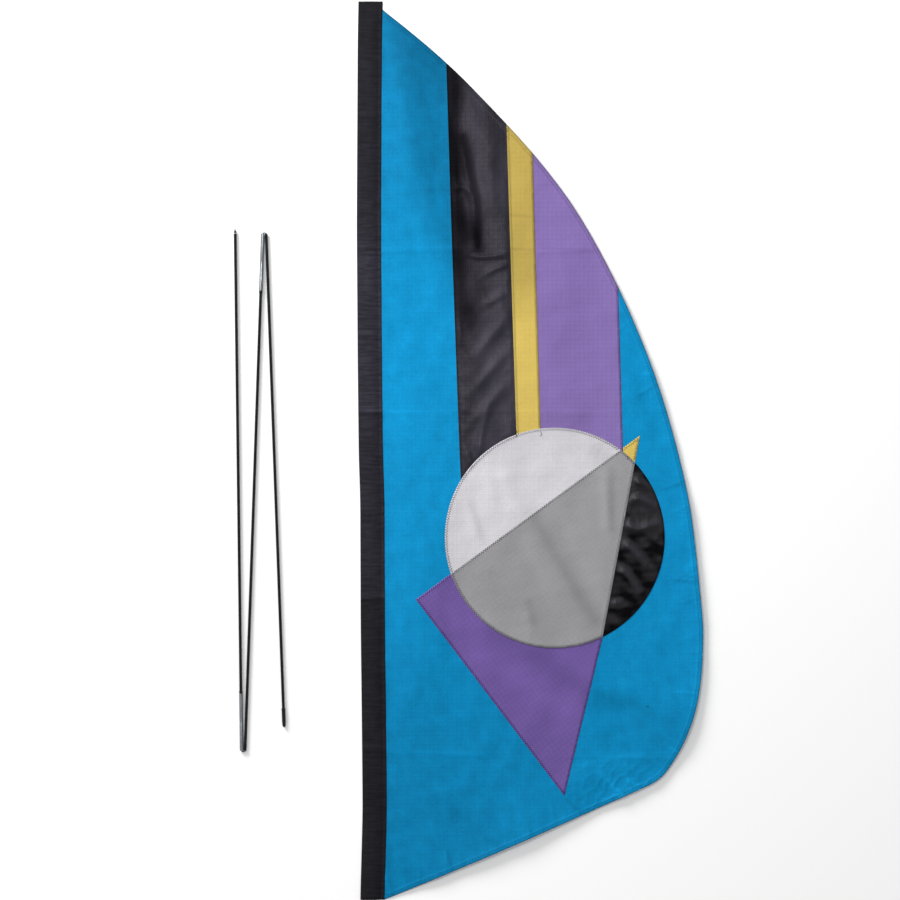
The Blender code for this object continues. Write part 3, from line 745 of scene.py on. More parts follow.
def segmentSheenShading(x, y, tone):
    # painted sheen: a pool of light at the upper left, patches, and painted highlights along each crease's upper
    # side
    tone = 0.55 * tone + spot(x, y, 0.306, 0.462, 0.036, 0.030) + 0.30 * blackLie(x, y)
    tone += 0.50 * smallLie(x * 1.3 + y * 0.6, y * 2.6)
    for line, width, _ in lie["segmentCreases"]:
        tone += 2.8 * bell(distanceTo(smoothThrough(line), x, y - 0.0035)[0], 0.7 * width)
    return np.maximum(tone, 0.25)


def clothTone(name, x, y):
    # the slow changes in each panel's colour, mostly painted light and shade of its folds, creases and sheen; 1 is
    # the cloth's own
    tone = np.ones(x.shape) - rimTones.get(name, 0) * fade(discDepth(x, y), 0.0010)
    if name == "blueGround":
        tone = groundShading(x, y)
    elif name == "blackStripe":
        tone = blackSheenShading(x, y)
    elif name == "yellowStripe":
        # painted shade on the yellow stripe's upper part
        tone -= 0.27 * smoothStep(0.67, 0.76, y)
    elif name == "greyPanel":
        tone += 0.80 * fade(sideDepth("top", "knee", x, y), 0.0009)
    for *middle, change in spots.get(name, ()):
        tone += change * spot(x, y, *middle)
    for line, width, change in shades.get(name, ()):
        tone += change * bell(distanceTo(smoothThrough(line), x, y)[0], width)
    return segmentSheenShading(x, y, tone) if name == "blackSegment" else tone


hemInner, hemOuter = sail["hemWidth"] - sail["hemStep"], sail["hemWidth"] + sail["hemStep"]


def hemShare(x, y):
    # 1 on the doubled hem along the leech and the foot, 0 off it, and the distance to the edge
    d, _ = distanceTo(edgeLine, x, y)
    return (1 - smoothStep(hemInner, hemOuter, d)) * (x > 0.004), d


def clothTop(x, y, layer):
    share, _ = hemShare(x, y)
    bottom = sail["rest"] + clothRise(x, y) + layer * sail["layerStep"]
    return bottom + sail["cloth"] + share * sail["hemRise"]


def toWorld(x, y, z):
    return np.column_stack([luffX + x + bow(x, y), footY + y, z])


def circleLine(radius, gap=0.0022):
    turns = np.linspace(0, 2 * math.pi, int(2 * math.pi * radius / gap) + 1)
    return np.column_stack([discX + radius * np.cos(turns), discY + radius * np.sin(turns)])


def offsetEdge(depth):
    # the sail's leech and foot, moved inwards
    step = np.gradient(edgeLine, axis=0)
    step = step / np.linalg.norm(step, axis=1)[:, None]
    return edgeLine + np.column_stack([step[:, 1], -step[:, 0]]) * depth


def movedSide(start, end, shift):
    # the first corner of a side, its direction and its length, with the side moved to its left by shift
    way = np.subtract(corner[end], corner[start])
    length = np.linalg.norm(way)
    way = way / length
    return np.array(corner[start]) + np.array([-way[1], way[0]]) * shift, way, length


def sideLine(start, end, shift, grow=0.02):
    point, way, length = movedSide(start, end, shift)
    return spaced((point - way * grow, point + way * (length + grow)))


def triangleLine(shift=0.0):
    # the triangle's outline, each side moved outwards by shift
    sides = [movedSide(start, end, shift) for start, end in triangleSides]
    points = []
    for (p, u, _), (q, v, _) in zip(sides[-1:] + sides[:-1], sides):
        t = ((q[0] - p[0]) * v[1] - (q[1] - p[1]) * v[0]) / (u[0] * v[1] - u[1] * v[0])
        points.append(p + u * t)
    ring = points + points[:1]
    return np.concatenate([spaced(pair)[:-1] for pair in zip(ring, ring[1:])] + [ring[:1]])


def seamLine(number, shift=0.0, low=discY, high=peakHeight):
    return spaced(((seamX(number, low) + shift, low), (seamX(number, high) + shift, high)))


def chainEdges(lines):
    # the steps from point to point along each line, numbered through
    starts = np.cumsum([0] + [len(line) for line in lines]).tolist()
    return [(base + i, base + i + 1) for base, line in zip(starts, lines) for i in range(len(line) - 1)]


def buildNet(lines, gap):
    # one fine net of triangles for the whole flag, cut along every seam and edge, so that the layers of
    # cloth that overlap share their corners and never cross
    drawn = np.concatenate(lines)
    low, high = drawn.min(0), drawn.max(0)
    loose = []
    for number, y in enumerate(np.arange(low[1], high[1], gap * math.sqrt(3) / 2)):
        x = np.arange(low[0] + (gap / 2 if number % 2 else 0), high[0], gap)
        loose.append(np.column_stack([x, np.full(len(x), y)]))
    loose = np.concatenate(loose)
    loose = loose[insideSail(loose[:, 0], loose[:, 1])]
    tree = KDTree(len(drawn))
    for index, point in enumerate(drawn):
        tree.insert((*point, 0.0), index)
    tree.balance()
    loose = [point for point in loose if tree.find((*point, 0.0))[2] > 0.5 * gap]
    corners = [Vector(point) for point in (*drawn, *loose)]
    found, _, faces, *_ = delaunay_2d_cdt(corners, chainEdges(lines), [], 0, 1e-6)
    flat = np.array([tuple(point) for point in found])
    faces = np.array([face for face in faces if len(face) == 3])
    a, b, c = (flat[faces[:, k]] for k in range(3))
    turn = (b[:, 0] - a[:, 0]) * (c[:, 1] - a[:, 1]) - (b[:, 1] - a[:, 1]) * (c[:, 0] - a[:, 0])
    faces[turn < 0] = faces[turn < 0][:, ::-1]
    kept = np.abs(turn) > 2e-11
    return flat, faces[kept], 0.5 * np.abs(turn[kept])


lap, radius = sail["lap"], design["radius"]
# every seam and edge, kept as cuts in the net so that panels end exactly on them
netPoints, netFaces, netAreas = buildNet([
    edgeLine, offsetEdge(0.0010), offsetEdge(hemInner), offsetEdge(hemOuter),
    spaced(((-lap, 0.0), (-lap, peakHeight))), spaced(((-lap, 0.0), (0.0, 0.0))),
    spaced(((-lap, peakHeight), (0.0, peakHeight))),
    circleLine(radius), circleLine(radius - lap), triangleLine(), triangleLine(-lap),
    seamLine(0), seamLine(0, lap), seamLine(1), seamLine(1, lap), seamLine(2, -lap), seamLine(2),
    seamLine(3, -lap), seamLine(3), seamLine(3, sail["tipGap"], high=discY + 0.16),
    sideLine("top", "knee", -lap), sideLine("left", "top", -lap),
    spaced(((seamX(0, discY), discY), (seamX(3, discY), discY))),
], sail["net"])
netHem, netAway = hemShare(*netPoints.T)
netRise = clothRise(*netPoints.T)
print("cloth net", len(netPoints), "points,", len(netFaces), "triangles")


def panelMesh(name, chosen, layer, material):
    used, faces = np.unique(netFaces[chosen], return_inverse=True)
    faces = faces.reshape(-1, 3)
    x, y = netPoints[used].T
    bottom = sail["rest"] + netRise[used] + layer * sail["layerStep"]
    top = bottom + sail["cloth"] + netHem[used] * sail["hemRise"]
    count = len(used)
    known = set(map(tuple, np.concatenate([faces[:, [0, 1]], faces[:, [1, 2]], faces[:, [2, 0]]])))
    walls = [(j, i, i + count, j + count) for i, j in sorted(known) if (j, i) not in known]
    obj = newMesh(name, np.concatenate([toWorld(x, y, top), toWorld(x, y, bottom)]),
                  [*faces, *(faces[:, ::-1] + count), *walls], material)
    tone = clothTone(name, x, y) * (1 - sail["hemTone"] * netHem[used])
    # painted shade along the outer edge, where the hem curls down
    tone = tone * (1 - sail["rimTone"] * np.exp(-netAway[used] / 0.0009))
    paintTone(obj.data, np.concatenate([tone, tone]))
    return obj, float(netAreas[chosen].sum()), (float(np.ptp(x)), float(np.ptp(y)))


def inStripes(x, y, first, last, shiftLow=0.0, shiftHigh=0.0):
    return (x > seamX(first, y) + shiftLow) & (x < seamX(last, y) + shiftHigh) & (y > discY)


midX, midY = netPoints[netFaces].mean(1).T
midDisc, midTriangle = discDepth(midX, midY), triangleDepth(midX, midY)
onSail = insideSail(midX, midY)
besideDisc = midDisc < lap
panels = (
    # name, its triangles, layer, cloth, slot, CAD node, and the stitches that go with it
    ("blueGround", onSail & ~(inStripes(midX, midY, 0, 3, lap, -lap) | (midDisc > lap) | (midTriangle > lap)),
     0, "blue", "blue_ripstop", "blue_ground", ("blueHemStitches", "blackStripeStitches")),
    ("blackStripe", onSail & besideDisc & inStripes(midX, midY, 0, 1, 0, lap),
     1, "black", "black_ripstop", "black_stripe", ("blackHemStitches",)),
    ("purpleStripe", onSail & besideDisc & inStripes(midX, midY, 2, 3, -lap, 0),
     1, "purple", "purple_ripstop", "purple_stripe", ("purpleHemStitches", "purpleStripeStitches")),
    ("yellowStripe", onSail & besideDisc & inStripes(midX, midY, 1, 2),
     2, "yellow", "yellow_ripstop", "yellow_stripe", ("yellowHemStitches", "yellowStripeStitches")),
    ("purpleTriangle", (midTriangle > 0) & besideDisc & (midY < discY),
     1, "triangle", "purple_ripstop", "purple_triangle", ("triangleStitches",)),
    ("yellowTip", (midTriangle > 0) & besideDisc & (midY > discY) & (midX > seamX(3, midY) + sail["tipGap"]),
     1, "yellow", "yellow_ripstop", "yellow_tip", ("yellowTipStitches",)),
    ("blackSegment",
     (midDisc > 0) & (sideDepth("top", "knee", midX, midY) < lap) & (midX > corner["knee"][0] - 0.02),
     2, "segment", "black_ripstop", "black_segment", ("discDarkStitches",)),
    ("whiteSegment", (midDisc > 0) & (sideDepth("left", "top", midX, midY) < lap),
     3, "white", "white_ripstop", "white_segment", ("discEdgeStitches", "threadTails")),
    ("greyPanel", (midDisc > 0) & (midTriangle > 0),
     4, "grey", "grey_ripstop", "grey_panel", ("greyPanelStitches",)),
)
clothPieces = {}
for name, chosen, layer, colour, slot, node, _ in panels:
    clothPieces[name] = panelMesh(name, chosen, layer, cloth[colour])
    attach(standFor(clothPieces[name][0], node), "flag")
print("panels made")


sleeve = {
    "width": 0.0288,
    "flange": 0.0060,
    "wall": 0.00035,
    "puff": 0.0013,            # how far the empty pocket stands open along its middle
    "mouthPuff": 0.0030,
    "topSeam": 0.0070,         # the sewn end below the top edge
    "across": 22,              # points over the pocket
    "creases": (               # height, rise, width
        (0.7745, 0.0009, 0.0030), (0.5785, 0.0008, 0.0030), (0.3575, 0.0006, 0.0030),
        (0.1785, 0.0006, 0.0028), (0.9300, 0.0003, 0.0050), (0.6700, 0.0003, 0.0050),
        (0.4600, 0.0003, 0.0060), (0.2700, 0.0003, 0.0060),
    ),
    "tone": (                  # height, painted light and shade
        (0.0, 0.46), (0.355, 0.52), (0.360, 0.92), (0.575, 0.98), (0.582, 1.32), (0.772, 1.26),
        (0.778, 0.90), (0.93, 0.64), (1.067, 0.46),
    ),
}
sleeveLie = Ripple(53, 0.060, (1.0, 1.5))
sleeveFine = Ripple(59, 0.016, (0.6, 1.6))
sewnAt = sleeveLength - sleeve["topSeam"]


def flangeTop(y):
    # the upper side of the strip that is sewn on the ground cloth
    return sail["rest"] + clothRise(np.full(y.shape, -0.003), y) + sail["cloth"] + sleeve["wall"] + 0.0001


def sleeveCut(y, flange):
    # one cut across the sleeve: over the pocket, over and under the flange, and back along the floor;
    # and the pocket's inner wall
    width, wall, rest = sleeve["width"], sleeve["wall"], sail["rest"]
    seam = 0.0012 - sleeve["flange"]
    puff = sleeve["puff"] + (sleeve["mouthPuff"] - sleeve["puff"]) * (1 - smoothStep(0.0, 0.05, y))
    puff = puff * (1 - smoothStep(sewnAt - 0.035, sewnAt, y)) + 0.00035
    turns = np.linspace(0, math.pi, sleeve["across"])
    topX = (seam - width) / 2 - (seam + width) / 2 * np.cos(turns)
    swell = np.where(turns < math.pi / 2, np.sin(turns) ** 0.55, np.sin(turns) ** 2.2)
    level = wall + (flange - rest - 1.3 * wall) * smoothStep(0.25, 1.0, (topX + width) / (seam + width))
    uneven = 0.0003 * (sleeveLie(topX, y) + 1) + 0.000125 * (sleeveFine(topX, y) + 1)
    wander = 0.0012 * np.sin(topX * 160)
    folds = sum(lift * crease(y - at - wander, wide) for at, lift, wide in sleeve["creases"])
    dip = 0.0003 * bell(y - sewnAt, 0.0011)
    topZ = rest + level + (puff + uneven + folds - dip) * swell
    stripX, stripZ = np.array((
        (seam + 0.0006, -0.00010), (seam + 0.0020, 0.0), (-0.0016, 0.00004), (-0.0003, 0.0), (0.0, -0.0002),
        (0.0, -0.8 * wall), (-0.0003, -wall), (-0.0030, -wall), (seam + 0.0006, -wall))).T
    floorZ = np.full(len(turns) - 2, rest)
    outerX = np.concatenate([topX, stripX, topX[-2:0:-1]])
    outerZ = np.concatenate([topZ, flange + stripZ, floorZ])
    innerX = 0.0008 - width + (topX[1:-1] + width) * (1 - 0.0016 / (seam + width))
    innerZ = np.maximum(topZ[1:-1] - wall, rest + wall + 0.00012)
    outer = np.column_stack([outerX, np.full(len(outerX), y), outerZ])
    inner = np.column_stack([np.concatenate([innerX, innerX[::-1]]), np.full(2 * len(innerX), y),
                             np.concatenate([innerZ, floorZ + 0.8 * wall])])
    return outer, inner


def loftFaces(count, rings, base=0):
    # quads from each ring of points to the next, and a cap on the last
    def number(ring, place):
        return base + ring * count + place % count
    faces = [(number(r, i), number(r, i + 1), number(r + 1, i + 1), number(r + 1, i))
             for r in range(rings - 1) for i in range(count)]
    return faces + [tuple(number(rings - 1, i) for i in range(count))]


def buildSleeve():
    # cuts crowd at the sewn end and at the top edge, so that both are crisp
    ys = np.unique(np.concatenate([np.linspace(0, sleeveLength, 420), sewnAt + 0.0006 * np.arange(-2, 3),
                                   sleeveLength - np.array([0.0003, 0.0009])]))
    stop = int(np.searchsorted(ys, sewnAt - 0.004))
    outer, inner = zip(*[sleeveCut(y, flange) for y, flange in zip(ys, flangeTop(ys))])
    plan = np.concatenate(outer + inner[:stop])
    ring, small = len(outer[0]), len(inner[0])
    faces = loftFaces(ring, len(ys)) + [face[::-1] for face in loftFaces(small, stop, len(ys) * ring)]
    obj = newMesh("luffSleeve", toWorld(*plan.T), faces, sleeveCloth)
    setNormals(obj.data, bridge=True)      # which also closes the mouth's rim
    obj.data.shade_smooth()
    x, y, _ = plan.T
    tone = np.interp(y, *zip(*sleeve["tone"]))
    # painted shade in each crease and a painted highlight on the ridge above it, then painted shade along the
    # sleeve's folded edge
    for at, lift, _ in sleeve["creases"]:
        deep = 1.0 if lift > 0.0005 else 0.35
        tone = tone * (1 - 0.55 * deep * bell(y - at + 0.0016, 0.0017))
        tone = tone * (1 + 0.40 * deep * bell(y - at - 0.0032, 0.0026))
    paintTone(obj.data, tone * (1 - 0.45 * fade(x + sleeve["width"], 0.0009)))
    return standFor(obj, "luff_sleeve")


sleeveObj = buildSleeve()
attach(sleeveObj, "flag")
print("sleeve made")


def cordPiece(name, routes, radii, material, sides=3):
    # soft round cords or threads along smooth routes, with closed ends
    data = bpy.data.curves.new(name, "CURVE")
    data.dimensions = "3D"
    data.bevel_depth = 1.0
    data.bevel_resolution = sides
    data.use_fill_caps = True
    for route, radius in zip(routes, radii):
        spline = data.splines.new("POLY")
        spline.points.add(len(route) - 1)
        spline.points.foreach_set("co", [c for point in route for c in (*point, 1.0)])
        spline.points.foreach_set("radius", radius)
    curve = link(bpy.data.objects.new(name + "Route", data))
    bpy.context.view_layer.update()
    mesh = bpy.data.meshes.new_from_object(curve.evaluated_get(bpy.context.evaluated_depsgraph_get()))
    bpy.data.objects.remove(curve)
    mesh.name = name
    mesh.materials.clear()
    mesh.materials.append(material)
    setNormals(mesh, weld=1e-6)
    mesh.shade_smooth()
    return link(bpy.data.objects.new(name, mesh))


def stitchTree(name, settings):
    # a stitch's inputs, and its path as a curve
    tree = bpy.data.node_groups.new(name, "GeometryNodeTree")
    tree.interface.new_socket("Geometry", in_out="INPUT", socket_type="NodeSocketGeometry")
    for label, value in settings.items():
        tree.interface.new_socket(label, in_out="INPUT", socket_type="NodeSocketFloat").default_value = value
    tree.interface.new_socket("Material", in_out="INPUT", socket_type="NodeSocketMaterial")
    tree.interface.new_socket("Geometry", in_out="OUTPUT", socket_type="NodeSocketGeometry")
    start = tree.nodes.new("NodeGroupInput").outputs
    return tree, start, addNode(tree, "GeometryNodeMeshToCurve", {"Mesh": start["Geometry"]}).outputs[0]


def resampled(tree, curve, length):
    inputs = {"Curve": curve, "Length": length}
    return addNode(tree, "GeometryNodeResampleCurve", inputs, mode="LENGTH").outputs[0]


def finishTree(tree, start, geometry):
    smooth = addNode(tree, "GeometryNodeSetShadeSmooth", {"Geometry": geometry}).outputs[0]
    real = addNode(tree, "GeometryNodeRealizeInstances", {0: smooth}).outputs[0]
    paint = addNode(tree, "GeometryNodeSetMaterial", {"Geometry": real, "Material": start["Material"]})
    tree.links.new(paint.outputs[0], tree.nodes.new("NodeGroupOutput").inputs["Geometry"])
    return tree


def vectorMath(tree, operation, inputs):
    return addNode(tree, "ShaderNodeVectorMath", inputs, operation=operation).outputs[0]


def makeZigzagTree():
    # A line of points becomes a zigzag of thread that dips into the cloth at each needle hole.
    tree, start, curve = stitchTree("zigzagStitch", {"Half Stitch": 0.0013, "Width": 0.003, "Thread": 0.0003,
                                                     "Loop Rise": 0.00018, "Hole Swell": 1.5})
    # eight steps a stitch, from the left hole over the middle to the right hole and back
    steps = resampled(tree, curve, calc(tree, "MULTIPLY", start["Half Stitch"], 0.25))
    index = tree.nodes.new("GeometryNodeInputIndex").outputs[0]
    side = calc(tree, "SINE", calc(tree, "MULTIPLY", index, math.pi / 4))
    outward = calc(tree, "ABSOLUTE", side)
    tangent = tree.nodes.new("GeometryNodeInputTangent").outputs[0]
    across = vectorMath(tree, "CROSS_PRODUCT", {0: tangent, 1: (0, 0, 1)})
    swing = calc(tree, "MULTIPLY", side, calc(tree, "MULTIPLY", start["Width"], 0.5))
    sideways = vectorMath(tree, "SCALE", {0: across, "Scale": swing})
    lift = calc(tree, "MULTIPLY", calc(tree, "SUBTRACT", 1.0, outward), start["Loop Rise"])
    up = addNode(tree, "ShaderNodeCombineXYZ", {"Z": lift}).outputs[0]
    offset = vectorMath(tree, "ADD", {0: sideways, 1: up})
    moved = addNode(tree, "GeometryNodeSetPosition", {"Geometry": steps, "Offset": offset}).outputs[0]
    # the thread is drawn fine over the cloth and bunches where it turns down into its hole
    fatness = calc(tree, "MULTIPLY_ADD", calc(tree, "POWER", outward, 6.0), start["Hole Swell"], 0.45)
    half = calc(tree, "MULTIPLY", start["Thread"], 0.5)
    ring = addNode(tree, "GeometryNodeCurvePrimitiveCircle", {"Resolution": 4, "Radius": half}).outputs[0]
    sweep = addNode(tree, "GeometryNodeCurveToMesh", {"Curve": moved, "Scale": fatness, "Profile Curve": ring,
                                                      "Fill Caps": True})
    return finishTree(tree, start, sweep.outputs[0])


def makeRunningTree():
    # A line of points becomes separate straight stitches, each a thread from one hole into the next.
    tree, start, curve = stitchTree("runningStitch", {"Pitch": 0.0032, "Stitch": 0.0023, "Thread": 0.0004})
    steps = resampled(tree, curve, start["Pitch"])
    points = addNode(tree, "GeometryNodeCurveToPoints", {"Curve": steps}, mode="EVALUATED").outputs
    turn = addNode(tree, "FunctionNodeAlignRotationToVector", {"Vector": points["Tangent"]}, axis="Z")
    bead = addNode(tree, "GeometryNodeMeshUVSphere", {"Segments": 6, "Rings": 5, "Radius": 0.5})
    sizes = {"X": start["Thread"], "Y": start["Thread"], "Z": start["Stitch"]}
    shape = addNode(tree, "ShaderNodeCombineXYZ", sizes).outputs[0]
    placed = addNode(tree, "GeometryNodeInstanceOnPoints", {
        "Points": points["Points"], "Instance": bead.outputs["Mesh"], "Rotation": turn.outputs[0], "Scale": shape})
    return finishTree(tree, start, placed.outputs[0])


zigzagStitch = makeZigzagTree()
runningStitch = makeRunningTree()
stitchPieces = {}


def sewn(name, tree, lines, material, **settings):
    # lines are (x, y, z) paths on the flag's plan; the result is one plain mesh of thread
    mesh = bpy.data.meshes.new(name + "Path")
    mesh.from_pydata(np.concatenate([toWorld(*line.T) for line in lines]).tolist(), chainEdges(lines), [])
    path = link(bpy.data.objects.new(name + "Path", mesh))
    modifier = path.modifiers.new("stitches", "NODES")
    modifier.node_group = tree
    settings["Material"] = material
    for item in tree.interface.items_tree:
        label = item.name.replace(" ", "")
        if item.in_out == "INPUT" and label in settings:
            modifier[item.identifier] = settings[label]
    path.update_tag()
    bpy.context.view_layer.update()
    made = bpy.data.meshes.new_from_object(path.evaluated_get(bpy.context.evaluated_depsgraph_get()))
    made.name = name
    bpy.data.objects.remove(path)
    stitchPieces[name] = link(bpy.data.objects.new(name, made))
    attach(stitchPieces[name], "flag")


def onTop(line, layer, lift=0.00008):
    return np.column_stack([line, clothTop(*line.T, layer) + lift])


def runsOf(line, mask, closed=True):
    # the unbroken runs of a line's points where mask holds
    if closed and not mask.all():
        first = int(np.argmin(mask))
        line, mask = np.roll(line[:-1], -first, axis=0), np.roll(mask[:-1], -first)
    turns = np.flatnonzero(np.diff(np.concatenate([[0], mask.astype(int), [0]])))
    return [line[a:b] for a, b in turns.reshape(-1, 2) if b - a > 3]


def stripeSeam(number, shift, layer):
    # a stripe's seam as far as it shows between the disc and the sail's edge
    line = seamLine(number, shift)
    shown = insideSail(*line.T) & (discDepth(*line.T) < 0.001)
    return onTop(max(runsOf(line, shown, closed=False), key=len), layer)


stitch = {
    "inset": 0.0015,           # from a panel's edge to the middle of its zigzag
    "zigzag": {"HalfStitch": 0.00150, "Width": 0.0023, "Thread": 0.00044},
    "hemInset": 0.0012,        # from the hem's inner edge to its stitches
    "hem": {"Pitch": 0.0034, "Stitch": 0.0025, "Thread": 0.00034},
    "sleeve": {"Pitch": 0.0032, "Stitch": 0.0024, "Thread": 0.0004},
}
inset = stitch["inset"]
circlePath = circleLine(radius - inset, 0.002)
isGrey = triangleDepth(*circlePath.T) > 0
isWhite = sideDepth("left", "top", *circlePath.T) < 0
# the layer of the panel that shows, softened where it changes
discLayers = np.where(isGrey, 4.0, np.where(isWhite, 3.0, 2.0))
discLayers = np.convolve(np.pad(discLayers, 2, mode="wrap"), np.ones(5) / 5, mode="valid")
discSeam = onTop(circlePath, discLayers)
triangleSeam = triangleLine(-inset)
onDisc = discDepth(*triangleSeam.T) > 0
isHigh = triangleSeam[:, 1] > discY
overLow, overHigh = onTop(triangleSeam, 1), onTop(triangleSeam, 4)
for name, lines, colour in (
    ("discEdgeStitches", runsOf(discSeam, ~isGrey & isWhite) + runsOf(discSeam, isGrey), "grey"),
    ("discDarkStitches", runsOf(discSeam, ~isGrey & ~isWhite), "black"),
    ("greyPanelStitches", runsOf(overHigh, onDisc), "grey"),
    ("triangleStitches", runsOf(overLow, ~onDisc & ~isHigh), "purple"),
    ("yellowTipStitches", runsOf(overLow, ~onDisc & isHigh), "olive"),
    ("blackStripeStitches", [stripeSeam(0, inset, 1)], "black"),
    ("yellowStripeStitches", [stripeSeam(1, inset, 2), stripeSeam(2, -inset, 2)], "olive"),
    ("purpleStripeStitches", [stripeSeam(3, -inset, 1)], "purple"),
):
    sewn(name, zigzagStitch, lines, thread[colour], **stitch["zigzag"])

hemPath = offsetEdge(sail["hemWidth"] - stitch["hemInset"])
hemPath = hemPath[(hemPath[:, 0] > 0.004) & (hemPath[:, 1] < peakHeight - 0.004)]
isBlack, isYellow, isPurple = (inStripes(*hemPath.T, number, number + 1) for number in range(3))
hemSeam = onTop(hemPath, np.where(isYellow, 2, np.where(isBlack | isPurple, 1, 0)), 0.00005)
for name, mask, colour in (
    ("blueHemStitches", ~(isBlack | isYellow | isPurple), "blue"),
    ("blackHemStitches", isBlack, "black"),
    ("yellowHemStitches", isYellow, "olive"),
    ("purpleHemStitches", isPurple, "purple"),
):
    sewn(name, runningStitch, runsOf(hemSeam, mask, closed=False), thread[colour], **stitch["hem"])

luffY = np.linspace(0.003, sleeveLength - 0.004, 500)
luffSeam = np.column_stack([np.full(500, -0.0047), luffY, flangeTop(luffY) + 0.00004])
endX = np.linspace(-0.0275, -0.0055, 24)
endSeam = np.column_stack([endX, np.full(24, sewnAt), np.full(24, sail["rest"] + sleeve["wall"] + 0.0006)])
sewn("sleeveStitches", runningStitch, [luffSeam, endSeam], thread["sleeve"], **stitch["sleeve"])

# cut thread ends left at the disc's top edge, and one picked thread in the blue
tails = {
    "threadRadius": 0.00022,
    "ends": (((0.1578, 0.5492), (0.1584, 0.5520), (0.1571, 0.5545), (0.1590, 0.5566)),
             ((0.1868, 0.5505), (0.1876, 0.5535), (0.1864, 0.5562)),
             ((0.2890, 0.5226), (0.2902, 0.5246), (0.2898, 0.5268))),
    "pick": ((0.3114, 0.2294), (0.3126, 0.2301), (0.3136, 0.2297), (0.3147, 0.2301)),
}
tailRoutes = [toWorld(*onTop(smoothThrough(points, 5), layer, 0.0003).T)
              for points, layer in [(end, 3) for end in tails["ends"]] + [(tails["pick"], 0)]]
stitchPieces["threadTails"] = cordPiece("threadTails", tailRoutes,
                                        [[tails["threadRadius"]] * len(route) for route in tailRoutes],
                                        thread["black"], sides=1)
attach(stitchPieces["threadTails"], "flag")
print("stitches made")

for name, *_, sewnOn in panels:
    obj, area, (width, length) = clothPieces[name]


pole = {
    "tubeRadius": 0.00165,
    "bore": 0.00105,
    "ferruleRadius": 0.00215,
    "ferrulePlay": 0.00015,    # between a tube and the ferrule over it
    "crimpWidth": 0.0012,
    "crimpDepth": 0.00014,
    "collarRadius": 0.00203,
    "collarPlay": 0.00004,
    "axisHeight": (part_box("lower_ferrule")[0].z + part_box("lower_ferrule")[1].z) / 2,
}


def endsOf(node):
    # the middles of a straight round piece's two ends, lower end first
    points = np.array(sorted({tuple(round(c, 7) for c in v.co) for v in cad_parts[node].data.vertices}))
    centre = points.mean(0)
    axis = np.linalg.svd(points - centre, full_matrices=False)[2][0]
    along = (points - centre) @ (axis if axis[1] > 0 else -axis)
    caps = points[along < along.min() + 0.0002], points[along > along.max() - 0.0002]
    middles = [(cap.min(0) + cap.max(0)) / 2 for cap in caps]
    return [Vector((x, y, pole["axisHeight"])) for x, y, _ in middles]


def turnedPiece(name, profile, start, direction, material, sides=28, closed=True):
    # profile points are (radius, distance along); a profile off the axis closes into a ring
    direction = direction.normalized()
    across = direction.cross(Vector((0, 0, 1))).normalized()
    over = direction.cross(across)
    points, faces, rings = [], [], []
    for r, d in profile:
        count = 1 if r < 1e-7 else sides
        rings.append([len(points) + k for k in range(count)])
        for k in range(count):
            a = 2 * math.pi * k / sides
            points.append(start + direction * d + (across * math.cos(a) + over * math.sin(a)) * r)
    pairs = list(zip(rings, rings[1:])) + ([(rings[-1], rings[0])] if closed else [])
    for a, b in pairs:
        for k in range(sides):
            j = (k + 1) % sides
            quad = (a[k % len(a)], a[j % len(a)], b[j % len(b)], b[k % len(b)])
            faces.append(tuple(dict.fromkeys(quad)))
    obj = newMesh(name, points, faces, material)
    setNormals(obj.data)
    obj.data.set_sharp_from_angle(angle=math.radians(40))
    return obj


def ringProfile(length, outer, inner, bevel, run):
    return [(outer - bevel, 0), (outer, run), (outer, length - run), (outer - bevel, length), (inner, length),
            (inner, 0)]


def tubeProfile(length):
    return ringProfile(length, pole["tubeRadius"], pole["bore"], 0.00015, 0.00015)


def collarProfile(length):
    return ringProfile(length, pole["collarRadius"], pole["tubeRadius"] + pole["collarPlay"], 0.0001, 0.0003)


def ferruleProfile(length):
    # a slight swell behind each mouth, and the crimp in the middle
    outer, inner = pole["ferruleRadius"], pole["tubeRadius"] + pole["ferrulePlay"]
    half = [(outer - 0.00018, 0.0), (outer, 0.0002), (outer, 0.0024), (outer + 0.00003, 0.0030),
            (outer, length / 2 - pole["crimpWidth"]),
            (outer - pole["crimpDepth"], length / 2 - pole["crimpWidth"] / 2)]
    return half + [(r, length - d) for r, d in half[::-1]] + [(inner, length), (inner, 0.0)]


ends = {}
for name, node, body, slot, material, profile, sides in (
    ("baseTube", "base_tube", "base_section", "glass_fibre", glassFibre, tubeProfile, 28),
    ("middleTube", "middle_tube", "middle_section", "glass_fibre", glassFibre, tubeProfile, 28),
    ("tipTube", "tip_tube", "tip_section", "glass_fibre", glassFibre, tubeProfile, 28),
    ("lowerFerrule", "lower_ferrule", "base_section", "ferrule_metal", ferruleMetal, ferruleProfile, 36),
    ("upperFerrule", "upper_ferrule", "middle_section", "ferrule_metal", ferruleMetal, ferruleProfile, 36),
    ("lowerFerruleCollar", "lower_ferrule_collar", "base_section", "black_rubber", blackRubber,
     collarProfile, 28),
    ("upperFerruleCollar", "upper_ferrule_collar", "middle_section", "black_rubber", blackRubber,
     collarProfile, 28),
):
    low, high = ends[node] = endsOf(node)
    obj = turnedPiece(name, profile((high - low).length), low, high - low, material, sides)
    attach(standFor(obj, node), body)

cap = {
    "length": 0.0226,
    "radius": 0.00215,
    "rim": 0.0024,
    "bore": 0.00170,
    "depth": 0.0062,           # how thick its closed end is
    "nose": 0.0042,            # how long the rounded part is
}


